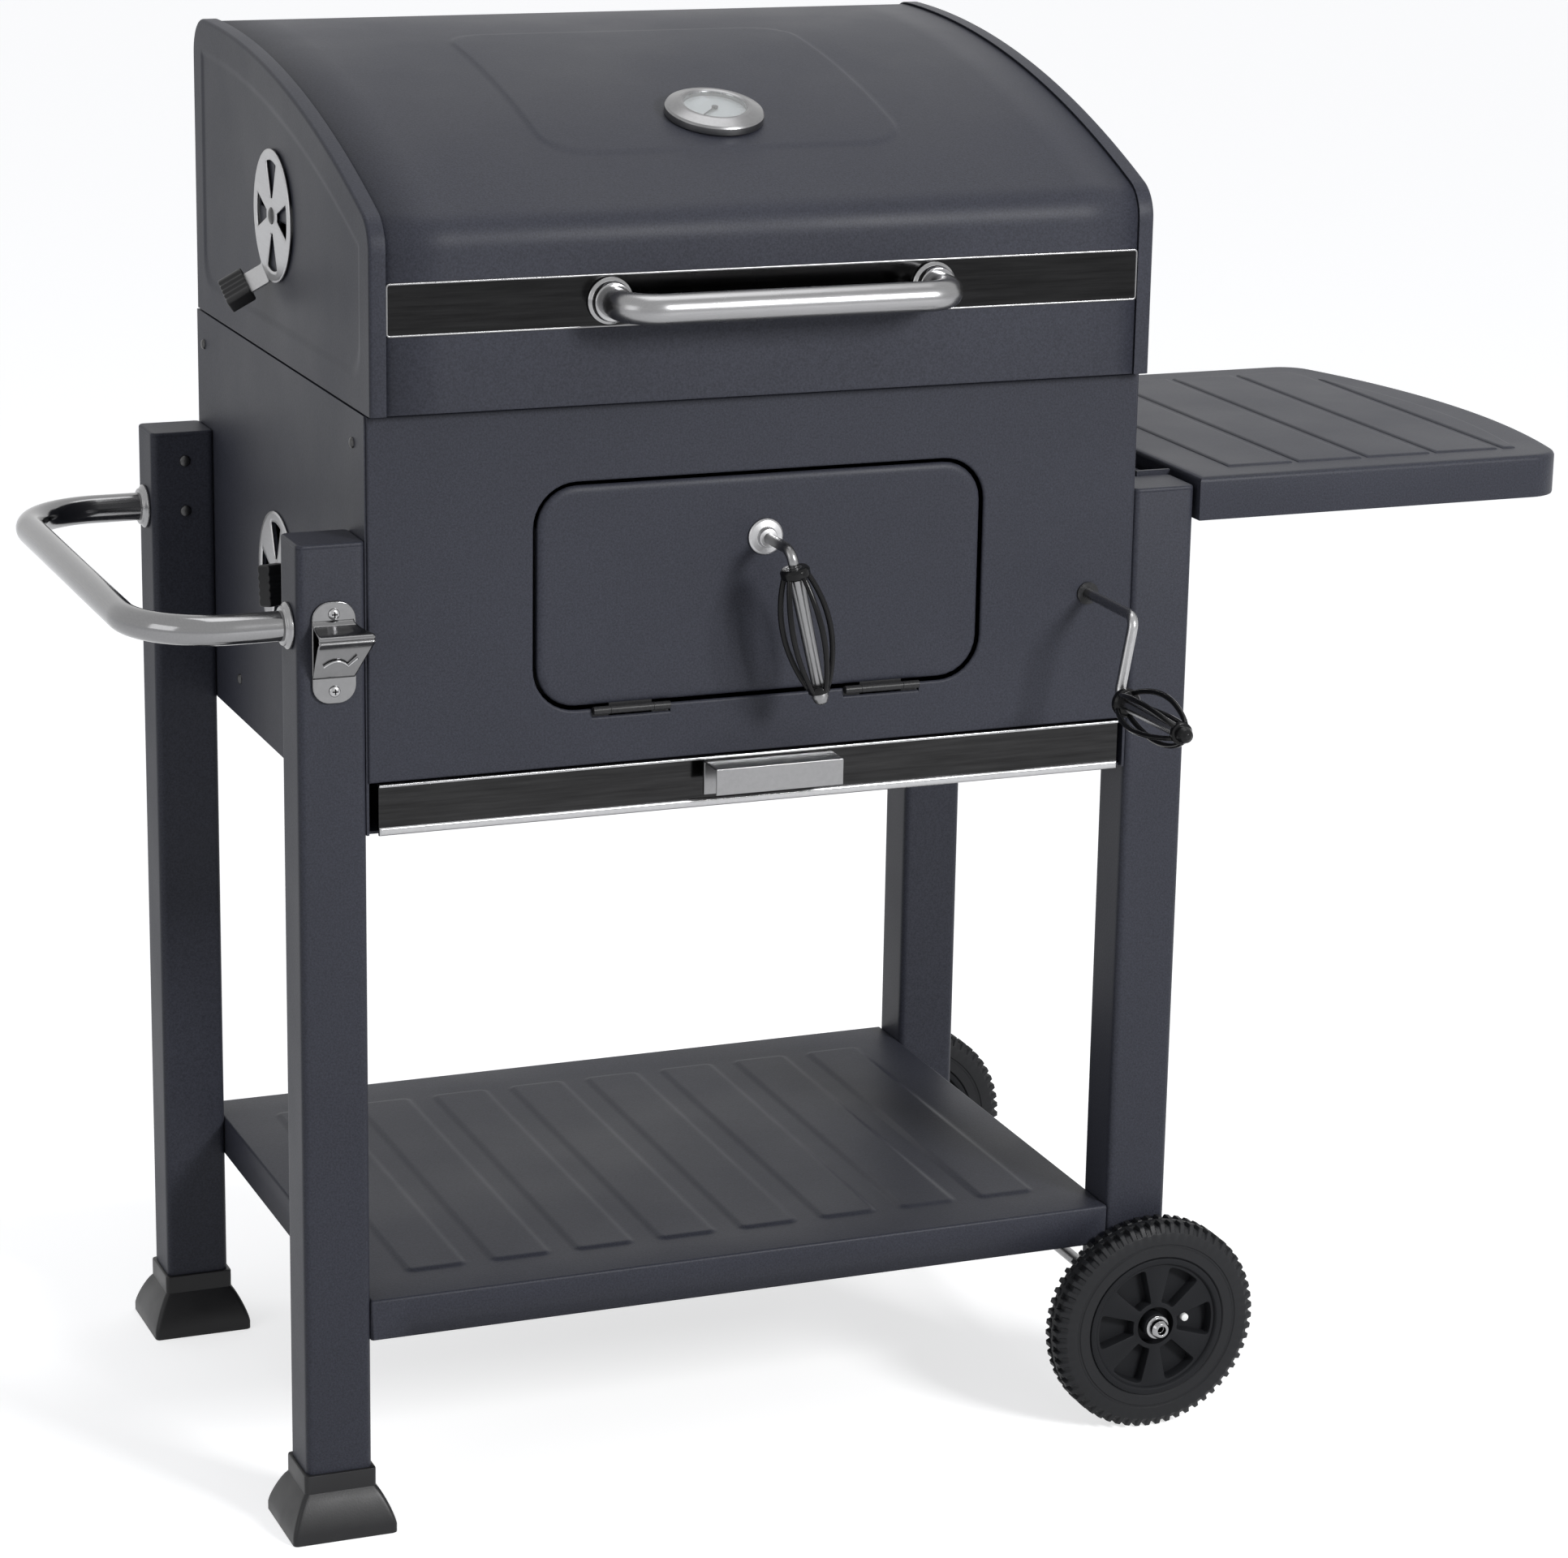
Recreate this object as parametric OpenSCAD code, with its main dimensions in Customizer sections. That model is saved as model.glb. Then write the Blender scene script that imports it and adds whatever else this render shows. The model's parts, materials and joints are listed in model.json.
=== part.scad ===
// Charcoal grill trolley: a lidded steel firebox on a four-leg cart with two
// wheels, a fire door, a lift-up charcoal tray, an ash drawer, two shelves,
// two air vents, a lid thermometer and a push handle.
// Millimetres. +X to the side shelf, +Y to the back, +Z up, floor at z = 0.

/* [Cart] */
// Width of the firebox between the legs
body_w = 600; // [590:2:630]
// Depth of the firebox, front face to back face
body_d = 460; // [450:2:480]
// Height of the firebox rim above the floor
rim_z = 843; // [835:1:855]
// Width of a leg tube
leg_w = 50; // [48:1:52]
// Depth of a leg tube
leg_d = 45; // [42:1:47]
// Height of the bottom shelf's top
shelf_z = 181; // [175:1:200]
// Thickness of the formed sheet panels
sheet = 2; // [1.8:0.1:2.2]

/* [Lid] */
// Height of the lid's highest point above the floor
lid_top_z = 1070.5; // [1065:0.5:1085]
// Radius of the lid's long top curve
lid_r = 1090; // [1060:5:1150]
// Radius of the lid's front and back edges
lid_edge_r = 27; // [22:1:32]
// Thickness of the lid sheet
lid_sheet = 1.4; // [1.2:0.1:1.6]
// Width across the thermometer
thermometer_d = 74; // [70:1:78]

/* [Doors and drawer] */
// Width of the fire door
door_w = 345; // [320:5:350]
// Height of the fire door
door_h = 162.5; // [155:0.5:166]
// Gap round the fire door
door_gap = 3; // [2.5:0.1:3.5]
// Height of the drawer front
drawer_h = 38; // [34:1:40]

/* [Handles] */
// Diameter of the lid and push handle tubes
tube_d = 22; // [20:1:24]
// How far the push handle stands out from the legs
push_reach = 105; // [95:1:115]
// Greatest radius of a cooling cage grip
cage_r = 20; // [17:1:21]
// Length of a cage grip
cage_len = 92; // [86:1:94]

/* [Charcoal lift] */
// Length of the lifting arms from pivot to pin
lift_arm = 45; // [40:1:48]
// Angle of the lifting arms below the horizontal with the tray down
lift_angle = 50; // [45:1:52]

/* [Wheels] */
// Outer diameter of a wheel
wheel_d = 171; // [165:1:180]
// Width of a wheel
wheel_w = 28; // [26:1:30]
// Number of tread lugs round a wheel
lugs = 60; // [48:4:64]

/* [Side shelf] */
// Length of the side shelf from the legs to its outer edge
side_shelf_l = 335; // [320:1:345]
// Depth of the side shelf
side_shelf_w = 400; // [390:1:404]

/* [Fits] */
// Radial clearance of a turning pin in its hole
fit = 0.05; // [0.03:0.01:0.08]
// Gap between pieces that slide or pass
slide = 0.3; // [0.25:0.05:0.4]

/* [Hidden] */
$fn = 64;
half_w = body_w / 2;
leg_out = half_w + leg_w;
leg_back = body_d - leg_d;
leg_top = rim_z - 92;
cap_t = 3;
foot_h = 49.5;
foot_sole = 6;

// Firebox heights, all hung from the rim
box_z = rim_z - 305;
panel_z = box_z + drawer_h + 1;
door_z0 = box_z + 83.5;
door_z1 = door_z0 + door_h;
door_r = 30;
door_axis = [-1, door_z0 - 4];
door_knuckle_r = 3;
door_pin_r = 1.5;
door_hinge_len = 59;
door_hinge_x = [-100.5, 96.5];

// Door handle: pivot on the door, grip plane in front of it, hanging tilt
latch_x = 2;
latch_z = door_z1 - 46;
latch_y = -50;
latch_tilt = 12.9;
latch_arm = 58;
rod_r = 4;
rod_bend = 9;
handle_drop = 5;

// Charcoal lift
crank_x = half_w - 37;
crank_z = box_z + 139;
crank_y = -81;
crank_arm = 62;
crank_tilt = 9.8;
lift_left_x = -(half_w - 82);
arm_y = 22;
arm_t = 4;
lift_pin_r = 3;
pin_x = crank_x - lift_arm * cos(lift_angle);
pin_left_x = lift_left_x - lift_arm * cos(lift_angle);
pin_z = crank_z - lift_arm * sin(lift_angle);
tray_x0 = pin_left_x - 15;
tray_x1 = pin_x + 14;
tray_y = 40;
tray_z0 = pin_z - 20.5;
tray_h = 46;
tray_t = 2;

// Lid profile in the Y-Z plane
lid_z = rim_z + 0.4;
lid_front = -12;
lid_back = body_d - 3;
lid_c = [lid_back - lid_edge_r, lid_top_z - lid_r];
lid_span = lid_c[0] - lid_front - lid_edge_r;
lid_corner_f = [lid_front + lid_edge_r, lid_c[1] + sqrt(pow(lid_r - lid_edge_r, 2) - pow(lid_span, 2))];
lid_corner_b = [lid_c[0], lid_top_z - lid_edge_r];
lid_emboss = 1.2;
lid_rim = 1.8;
lid_hinge = [body_d + 5.5, rim_z + 2];
lid_hinge_x = 200;
lid_knuckle_r = 4.5;
lid_pin_r = 2.5;
field_w = 284;
field_y0 = 70;
field_y1 = 333;
trim_t = 1.2;
trim_h = 38;
trim_rise = 57;
trim_z = rim_z + trim_rise;
lid_handle_x = 124;
lid_handle_z = trim_z + trim_h / 2;
lid_handle_y = -60;
lid_bend = 25;

// Thermometer on the sloping lid
gauge_x = 4;
gauge_y = 122;
gauge_tilt = asin((lid_c[0] - gauge_y) / lid_r);
gauge_z = lid_c[1] + lid_r * cos(gauge_tilt);
gauge_r = thermometer_d / 2;
dial_r = 23.4;
stem_r = 3;

// Vents on the left side
vent_y = body_d / 2;
lid_vent_rise = 107;
box_vent_rise = 140;
lid_vent_z = rim_z + lid_vent_rise;
box_vent_z = box_z + box_vent_rise;
vent_r = 49;
vent_t = 1.5;
lid_vent_turn = -66;
box_vent_turn = 172;
vent_bend_r = 50;
vent_lean = 34;
strap_w = 24;
strap_bare = 15;
sleeve_l = 20;
strap_l = strap_bare + sleeve_l - 4;
// The strap's section: flat from its root just past the disc, then bent outward with a mitred corner
strap_root = vent_bend_r - vent_t / 3;
strap_way = [-cos(vent_lean), sin(vent_lean)];
strap_side = [sin(vent_lean), cos(vent_lean)];
mitre = vent_t / 2 * tan(45 - vent_lean / 2);
bent_strap = [
    [-vent_t / 2, strap_root], [vent_t / 2, strap_root], [vent_t / 2, vent_bend_r + mitre],
    [0, vent_bend_r] + strap_l * strap_way + vent_t / 2 * strap_side,
    [0, vent_bend_r] + strap_l * strap_way - vent_t / 2 * strap_side, [-vent_t / 2, vent_bend_r - mitre]
];
rivet_r = 3;

// Push handle
push_z = leg_top - 59;
push_bend = 65;
push_x = -leg_out - push_reach;
flange_r = 17;
flange_h = 10;

// Wheels
axle_r = 5;
axle_x = half_w + 33;
axle_z = wheel_d / 2;
tyre_r = 57;
wheel_gap = 1;
nut_h = 9;

// Side shelf, folding about a pin line beside the right legs
side_z = rim_z - 83;
side_skirt = 33;
side_x0 = leg_out + 3;
side_x1 = side_x0 + side_shelf_l;
side_y0 = -3;
side_y1 = side_y0 + side_shelf_w;
side_corner = 30;
side_bulge = 620;
side_c = [side_x1 - side_bulge, side_y0 + 163];
fold = [leg_out + 14, side_z - 21];
fold_pin_r = 4;
lug_t = 3;
side_t = 1.2;

// Drawer
drawer_in = half_w - 15;
drawer_z = box_z + 2 + slide;
pull_x = 6;

// The origin lies under the middle of the bounding box
front_end = crank_y - cage_len - 23;
back_end = body_d + wheel_gap + wheel_w + nut_h;
centre = [(push_x - tube_d / 2 + side_x1) / 2, (front_end + back_end) / 2, 0];

// ---------- Helpers ----------

// Moves cart coordinates so that the origin is the middle of the footprint
module place() {
    translate(-centre) children();
}

// A block between two opposite corners
module block(lo, hi) {
    translate(lo) cube(hi - lo);
}

// A flat outline in X-Z made t thick, from y to y + t
module facing_y(y, t) {
    translate([0, y + t, 0]) rotate([90, 0, 0]) linear_extrude(t) children();
}

// A flat outline in Y-Z made t thick, from x to x + t
module facing_x(x, t) {
    translate([x, 0, 0]) rotate([90, 0, 90]) linear_extrude(t) children();
}

// A round bar along Y
module bar_y(x, z, y0, y1, r) {
    translate([x, y0, z]) rotate([-90, 0, 0]) cylinder(r = r, h = y1 - y0);
}

// A round bar along X
module bar_x(y, z, x0, x1, r) {
    translate([x0, y, z]) rotate([0, 90, 0]) cylinder(r = r, h = x1 - x0);
}

// A rectangle with round corners, between two opposite corners
module rounded(lo, hi, r) {
    size = hi - lo;
    translate(lo + [r, 0]) square([size[0] - 2 * r, size[1]]);
    translate(lo + [0, r]) square([size[0], size[1] - 2 * r]);
    for (i = [0, 1], j = [0, 1])
        translate([i ? hi[0] - r : lo[0] + r, j ? hi[1] - r : lo[1] + r]) circle(r = r);
}

// Takes the sharp corner beyond a round corner's centre, between two directions
module corner_cut(c, a, b) {
    translate(c) polygon([[0, 0], 90 * a, 150 * (a + b) / norm(a + b), 90 * b]);
}

// A link plate outline between two pivots
module link(a, b, r) {
    d = b - a;
    translate(a) circle(r = r);
    translate(b) circle(r = r);
    translate(a) rotate(atan2(d[1], d[0])) translate([0, -r]) square([norm(d), 2 * r]);
}

// The ring-shaped section of a tube
module tube_ring(r, wall) {
    difference() {
        circle(r = r);
        circle(r = r - wall);
    }
}

// A stepped round flange standing on z = 0, bored for a tube
module flange(bore_r) {
    difference() {
        union() {
            cylinder(r = flange_r, h = 4);
            cylinder(r = flange_r - 3, h = flange_h);
        }
        translate([0, 0, -1]) cylinder(r = bore_r, h = flange_h + 2);
    }
}

// A low domed screw head standing on z = 0
module screw_head(r, h) {
    cylinder(r = r, h = h * 0.4);
    translate([0, 0, h * 0.4]) cylinder(r1 = r, r2 = r * 0.55, h = h * 0.6);
}

// ---------- Legs, feet and bottom shelf ----------

// A square tube leg from z0 to its top
module leg_tube(x, y, z0) {
    wall = 2;
    difference() {
        block([x, y, z0], [x + leg_w, y + leg_d, leg_top]);
        block([x + wall, y + wall, z0 - 1], [x + leg_w - wall, y + leg_d - wall, leg_top + 1]);
    }
}

module leg_front_left() {
    color("dimgray") place() leg_tube(-leg_out, 0, foot_sole);
}

module leg_back_left() {
    color("dimgray") place() leg_tube(-leg_out, leg_back, foot_sole);
}

// A right leg carries the wheel axle
module wheel_leg(y) {
    difference() {
        leg_tube(half_w, y, axle_z - 24);
        bar_y(axle_x, axle_z, y - 1, y + leg_d + 1, axle_r);
    }
}

module leg_front_right() {
    color("dimgray") place() wheel_leg(0);
}

module leg_back_right() {
    color("dimgray") place() wheel_leg(leg_back);
}

module leg_caps() {
    color("dimgray") place()
        for (x = [-leg_out, half_w], y = [0, leg_back])
            translate([0, 0, leg_top]) linear_extrude(cap_t)
                rounded([x, y], [x + leg_w, y + leg_d], 2);
}

// The leg's section at x, y grown all round by a margin
module around(x, y, grow, r) {
    rounded([x - grow, y - grow], [x + leg_w + grow, y + leg_d + grow], r);
}

// A flared plastic shoe round the end of a left leg
module shoe(x, y) {
    lip = 15;
    skin = 2.5;
    mid = 12;
    difference() {
        union() {
            linear_extrude(9)
                around(x, y, lip, 4);
            hull() {
                translate([0, 0, 9]) linear_extrude(0.1)
                    around(x, y, lip - 0.5, 4, $fn = 32);
                translate([0, 0, 14]) linear_extrude(0.1)
                    around(x, y, mid, 4, $fn = 32);
            }
            hull() {
                translate([0, 0, 14]) linear_extrude(0.1)
                    around(x, y, mid, 4, $fn = 32);
                translate([0, 0, 35]) linear_extrude(0.1)
                    around(x, y, skin, 3, $fn = 32);
            }
            translate([0, 0, 35]) linear_extrude(foot_h - 35)
                around(x, y, skin, 3);
        }
        block([x, y, foot_sole], [x + leg_w, y + leg_d, foot_h + 1]);
    }
}

module feet() {
    color("black") place() {
        shoe(-leg_out, 0);
        shoe(-leg_out, leg_back);
    }
}

// Folded tray shelf with a skirt and eight raised ribs
module bottom_shelf() {
    skin = 1.5;
    rib_w = 50;
    rib_pitch = (body_w - 64) / 8;
    color("dimgray") place() {
        difference() {
            block([-half_w, 0, shelf_z - 31], [half_w, body_d, shelf_z]);
            block([-half_w + skin, skin, shelf_z - 32], [half_w - skin, body_d - skin, shelf_z - skin]);
        }
        for (i = [-3.5 : 3.5])
            translate([0, 0, shelf_z]) linear_extrude(1.5)
                rounded([i * rib_pitch - rib_w / 2, 45], [i * rib_pitch + rib_w / 2, body_d - 45], 8);
    }
}

// ---------- Firebox ----------

// Outline of the fire door, grown by a margin
module door_outline(grow) {
    rounded([-door_w / 2 - grow, door_z0 - grow], [door_w / 2 + grow, door_z1 + grow], door_r + grow);
}

module front_panel() {
    half = door_hinge_len / 2 + 1;
    color("dimgray") place() facing_y(0, sheet) difference() {
        translate([-half_w, panel_z]) square([body_w, rim_z - panel_z]);
        door_outline(door_gap);
        for (x = door_hinge_x)
            translate([x - half, door_axis[1] - 5]) square([2 * half, 10]);
        translate([crank_x, crank_z]) circle(r = 7);
    }
}

module back_panel() {
    color("dimgray") place()
        block([-half_w, body_d - sheet, box_z], [half_w, body_d, rim_z]);
}

// Four quarter-spaced vent openings round the centre
module vent_windows() {
    reach = 60;
    rise = reach * tan(22.5);
    tip = 6;
    for (a = [0 : 90 : 270])
        rotate(a) intersection() {
            difference() {
                circle(r = 41);
                circle(r = 13);
            }
            polygon([[tip, 0], [tip + reach, -rise], [tip + reach, rise]]);
        }
}

// A side wall of the firebox, from x to x + sheet
module side_wall() {
    translate([sheet, box_z]) square([body_d - 2 * sheet, rim_z - box_z]);
}

module side_panel_left() {
    color("dimgray") place() facing_x(-half_w, sheet) difference() {
        side_wall();
        translate([vent_y, box_vent_z]) {
            vent_windows();
            circle(r = rivet_r + fit);
        }
    }
}

module side_panel_right() {
    color("dimgray") place() facing_x(half_w - sheet, sheet) side_wall();
}

grate_z = rim_z - 31;
grate_h = 8;

module grate_ledges() {
    color("dimgray") place()
        for (s = [-1, 1]) {
            x = s * (half_w - sheet);
            inner = s * (half_w - 18);
            block([min(x, inner), 8, grate_z - 2], [max(x, inner), body_d - 8, grate_z]);
        }
}

// Two cast grates side by side, bars running front to back
module cooking_grates() {
    bar = 6;
    y0 = 12;
    y1 = body_d - 12;
    w = half_w - 6;
    gaps = 17;
    slot = (w - bar * (gaps + 1)) / gaps;
    color("dimgray") place()
        for (x0 = [-w - 1, 1])
            translate([x0, 0, grate_z]) linear_extrude(grate_h) difference() {
                rounded([0, y0], [w, y1], 5);
                for (i = [0 : gaps - 1], y = [y0 + bar, (y0 + y1 + bar) / 2])
                    translate([bar + i * (slot + bar), y]) square([slot, (y1 - y0 - 3 * bar) / 2]);
            }
}

// Angle runners that carry the drawer
module drawer_runners() {
    color("dimgray") place()
        for (s = [-1, 1]) {
            wall = s * (half_w - sheet);
            inner = s * (drawer_in - 12);
            block([min(wall, inner), 6, box_z], [max(wall, inner), body_d - 8, box_z + 2]);
        }
}

// Dome-headed screws on the side panels, one leg and the bottle opener
module screws() {
    color("silver") place() {
        for (p = [[30, rim_z - 24], [body_d - 20, rim_z - 25], [345, box_z + 32]]) {
            translate([-half_w, p[0], p[1]]) rotate([0, -90, 0]) screw_head(4, 2.4);
            translate([half_w, p[0], p[1]]) rotate([0, 90, 0]) screw_head(4, 2.4);
        }
        for (z = [push_z - 1, push_z + 39])
            translate([-leg_out + 26.5, leg_back, z]) rotate([90, 0, 0]) screw_head(4.5, 2.6);
        for (z = opener_screws)
            translate([opener_x, -opener_t, z]) rotate([90, 0, 0]) screw_head(4.2, 2.4);
    }
}

// ---------- Bottle opener on the front left leg ----------

opener_x = -leg_out + 26;
opener_z = leg_top - 75;
opener_t = 2.5;
opener_screws = [opener_z - 28, opener_z + 28];

module bottle_opener() {
    w = 32;
    color("silver") place() {
        facing_y(-opener_t, opener_t)
            rounded([opener_x - w / 2, opener_z - 37], [opener_x + w / 2, opener_z + 37], 12);
        difference() {
            block([opener_x - 13, -20, opener_z - 4], [opener_x + 25, -opener_t, opener_z + 10]);
            block([opener_x - 14, -17.5, opener_z - 5], [opener_x + 26, -opener_t - 3, opener_z + 7.5]);
        }
        difference() {
            block([opener_x - 13, -8, opener_z - 18], [opener_x + 17, -opener_t, opener_z - 4]);
            translate([opener_x + 2, -20, opener_z - 26]) rotate([-90, 0, 0]) cylinder(r = 14, h = 30);
        }
    }
}

// ---------- Push handle ----------

module push_handle() {
    r = tube_d / 2;
    wall = 1.5;
    ya = leg_d / 2;
    yb = body_d - leg_d / 2;
    knee = push_x + push_bend;
    color("silver") place() translate([0, 0, push_z]) {
        for (y = [ya, yb])
            translate([knee, y, 0]) rotate([0, 90, 0])
                linear_extrude(-leg_out - knee) tube_ring(r, wall);
        translate([knee, ya + push_bend, 0]) rotate([0, 0, 180])
            rotate_extrude(angle = 90) translate([push_bend, 0]) tube_ring(r, wall);
        translate([knee, yb - push_bend, 0]) rotate([0, 0, 90])
            rotate_extrude(angle = 90) translate([push_bend, 0]) tube_ring(r, wall);
        translate([push_x, ya + push_bend, 0]) rotate([-90, 0, 0])
            linear_extrude(yb - ya - 2 * push_bend) tube_ring(r, wall);
    }
}

module push_handle_flanges() {
    color("silver") place()
        for (y = [leg_d / 2, body_d - leg_d / 2])
            translate([-leg_out, y, push_z]) rotate([0, -90, 0]) flange(tube_d / 2);
}

// ---------- Wheels ----------

module wheel_axle() {
    color("silver") place()
        bar_y(axle_x, axle_z, -wheel_gap - wheel_w - 5, body_d + wheel_gap + wheel_w + 5, axle_r);
}

module hub_nuts() {
    color("silver") place()
        for (s = [0, 1]) {
            y = s ? body_d + wheel_gap + wheel_w : -wheel_gap - wheel_w;
            translate([axle_x, y, axle_z]) rotate([s ? -90 : 90, 0, 0]) difference() {
                union() {
                    cylinder(r = 9.5, h = 1.5);
                    cylinder(r = 7.5, h = 7);
                    translate([0, 0, 7]) cylinder(r1 = 7.5, r2 = 4.5, h = nut_h - 7);
                }
                translate([0, 0, -1]) cylinder(r = axle_r, h = 6);
            }
        }
}

// One of the six pockets between the spokes
module spoke_gap() {
    intersection() {
        difference() {
            circle(r = 48);
            circle(r = 20);
        }
        polygon([[0, 0], [60, 17], [60, -17]]);
    }
}

// Moulded wheel centre, turning on the axle, from y to y + wheel_w
module wheel_centre(y) {
    web = wheel_w - 5;
    plate = 3;
    translate([axle_x, y + wheel_w, axle_z]) rotate([90, 0, 0]) difference() {
        union() {
            linear_extrude(wheel_w) tube_ring(tyre_r, 6);
            cylinder(r = 10, h = wheel_w);
            translate([0, 0, (wheel_w - plate) / 2]) cylinder(r = 52, h = plate);
            translate([0, 0, (wheel_w - web) / 2]) linear_extrude(web) difference() {
                tube_ring(52, 36.5);
                for (a = [0 : 60 : 300])
                    rotate(a) spoke_gap();
            }
        }
        translate([0, 0, -1]) cylinder(r = axle_r + fit, h = wheel_w + 2);
    }
}

// One row of tread lugs over the tyre carcass
module lug_row(turn, h) {
    pitch = 360 / lugs;
    deep = 3;
    linear_extrude(h) difference() {
        circle(r = axle_z);
        circle(r = tyre_r);
        for (i = [0 : lugs - 1])
            rotate((i + 0.5) * pitch + turn - 90)
                translate([axle_z - deep, -1.6]) square([deep + 2, 3.2]);
    }
}

module tyre(y) {
    rib = 4;
    row = (wheel_w - rib) / 2;
    translate([axle_x, y + wheel_w, axle_z]) rotate([90, 0, 0]) {
        lug_row(0, row);
        translate([0, 0, row]) linear_extrude(rib) tube_ring(axle_z - 1, axle_z - 1 - tyre_r);
        translate([0, 0, row + rib]) lug_row(0, row);
    }
}

module wheel_front() {
    color("black") place() wheel_centre(-wheel_gap - wheel_w);
}

module tyre_front() {
    color("black") place() tyre(-wheel_gap - wheel_w);
}

module wheel_back() {
    color("black") place() wheel_centre(body_d + wheel_gap);
}

module tyre_back() {
    color("black") place() tyre(body_d + wheel_gap);
}

// ---------- Lid ----------

// Side outline of the lid, pulled in by inset, down to z0
module lid_profile(inset, z0) {
    r = lid_r - inset;
    er = lid_edge_r - inset;
    up = (lid_corner_f - lid_c) / norm(lid_corner_f - lid_c);
    difference() {
        intersection() {
            translate([lid_front + inset, z0]) square([lid_back - lid_front - 2 * inset, 400]);
            translate(lid_c) circle(r = r);
        }
        corner_cut(lid_corner_f, [-1, 0], up);
        corner_cut(lid_corner_b, [1, 0], [0, 1]);
    }
    translate(lid_corner_f) circle(r = er);
    translate(lid_corner_b) circle(r = er);
}

// Places children on the lid's raised field with +Z along its normal
module on_gauge(w) {
    translate([gauge_x, gauge_y, gauge_z]) rotate([gauge_tilt, 0, 0])
        translate([0, 0, lid_emboss + w]) children();
}

module lid_shell() {
    len = body_w - 2 * sheet;
    color("dimgray") place() difference() {
        union() {
            facing_x(-len / 2, len) difference() {
                lid_profile(0, lid_z);
                lid_profile(lid_sheet, lid_z - 1);
            }
            intersection() {
                facing_x(-field_w / 2, field_w) difference() {
                    lid_profile(-lid_emboss, lid_z);
                    lid_profile(lid_sheet / 2, lid_z - 1);
                }
                linear_extrude(lid_top_z + 2 * lid_emboss)
                    rounded([-field_w / 2, field_y0], [field_w / 2, field_y1], 35);
            }
            block([-len / 2, lid_front, lid_z], [len / 2, sheet, lid_z + lid_sheet]);
        }
        on_gauge(-20) cylinder(r = stem_r + fit, h = 40);
    }
}

// A pressed end plate with a rim that laps over the sheet
module lid_end(x, lap_x) {
    facing_x(x, sheet) difference() {
        lid_profile(-lid_rim, lid_z);
        children();
    }
    facing_x(lap_x, 12) difference() {
        lid_profile(-lid_rim, lid_z);
        lid_profile(0, lid_z - 1);
    }
}

module lid_cap_left() {
    color("dimgray") place() lid_end(-half_w, -half_w)
        translate([vent_y, lid_vent_z]) {
            rotate(22.5) vent_windows();
            circle(r = rivet_r + fit);
        }
}

module lid_cap_right() {
    color("dimgray") place() lid_end(half_w - sheet, half_w - 12);
}

module lid_trim() {
    color("silver") place()
        facing_y(lid_front - trim_t, trim_t)
            rounded([-half_w + 12, trim_z], [half_w - 12, trim_z + trim_h], 3);
}

module lid_handle() {
    r = tube_d / 2;
    wall = 1.5;
    foot = lid_front - trim_t;
    elbow_y = lid_handle_y + lid_bend;
    elbow_x = lid_handle_x - lid_bend;
    color("silver") place() translate([0, 0, lid_handle_z]) {
        for (s = [-1, 1])
            translate([s * lid_handle_x, foot, 0]) rotate([90, 0, 0])
                linear_extrude(foot - elbow_y) tube_ring(r, wall);
        translate([elbow_x, elbow_y, 0]) rotate([0, 0, -90])
            rotate_extrude(angle = 90) translate([lid_bend, 0]) tube_ring(r, wall);
        translate([-elbow_x, elbow_y, 0]) rotate([0, 0, 180])
            rotate_extrude(angle = 90) translate([lid_bend, 0]) tube_ring(r, wall);
        translate([-elbow_x, lid_handle_y, 0]) rotate([0, 90, 0])
            linear_extrude(2 * elbow_x) tube_ring(r, wall);
    }
}

module lid_handle_flanges() {
    color("silver") place()
        for (s = [-1, 1])
            translate([s * lid_handle_x, lid_front - trim_t, lid_handle_z])
                rotate([90, 0, 0]) flange(tube_d / 2);
}

// Hinge leaf with a barrel of given length, centred on x
module lid_barrel(x, len, bore) {
    difference() {
        children();
        bar_x(lid_hinge[0], lid_hinge[1], x - len / 2 - 1, x + len / 2 + 1, bore);
    }
}

module lid_hinge_leaves() {
    len = 24;
    y = lid_hinge[0];
    z = lid_hinge[1];
    color("dimgray") place()
        for (x = [-lid_hinge_x, lid_hinge_x])
            lid_barrel(x, len, lid_pin_r + fit) {
                union() {
                    bar_x(y, z, x - len / 2, x + len / 2, lid_knuckle_r);
                    block([x - len / 2, lid_back, z + 2.5], [x + len / 2, y, z + lid_knuckle_r]);
                    block([x - len / 2, lid_back, z + 2.5], [x + len / 2, lid_back + 1.5, z + 36]);
                }
            }
}

module lid_hinge_brackets() {
    len = 60;
    gap = 12 + slide;
    y = lid_hinge[0];
    z = lid_hinge[1];
    color("dimgray") place()
        for (x = [-lid_hinge_x, lid_hinge_x]) {
            bar_x(y, z, x - len / 2, x + len / 2, lid_pin_r);
            for (s = [-1, 1]) {
                x0 = min(x + s * gap, x + s * len / 2);
                x1 = max(x + s * gap, x + s * len / 2);
                bar_x(y, z, x0, x1, lid_knuckle_r);
                block([x0, body_d, z - lid_knuckle_r], [x1, y, z - 2.5]);
                block([x0, body_d, z - 33], [x1, body_d + 1.5, z - 2.5]);
            }
        }
}

// ---------- Thermometer ----------

module thermometer_bezel() {
    r = gauge_r;
    color("silver") place() on_gauge(0) rotate_extrude()
        polygon([[stem_r, 0], [r, 0], [r, 6.5], [r - 2.5, 9], [dial_r + 1, 10.5],
                 [dial_r, 10], [dial_r, 4.5], [stem_r, 4.5]]);
}

module thermometer_dial() {
    color("white") place() on_gauge(4.5) difference() {
        cylinder(r = dial_r, h = 0.8);
        translate([0, 0, -1]) cylinder(r = 1 + fit, h = 3);
    }
}

module thermometer_glass() {
    color("lightblue") place() on_gauge(8.2) cylinder(r = dial_r, h = 1.2);
}

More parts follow.
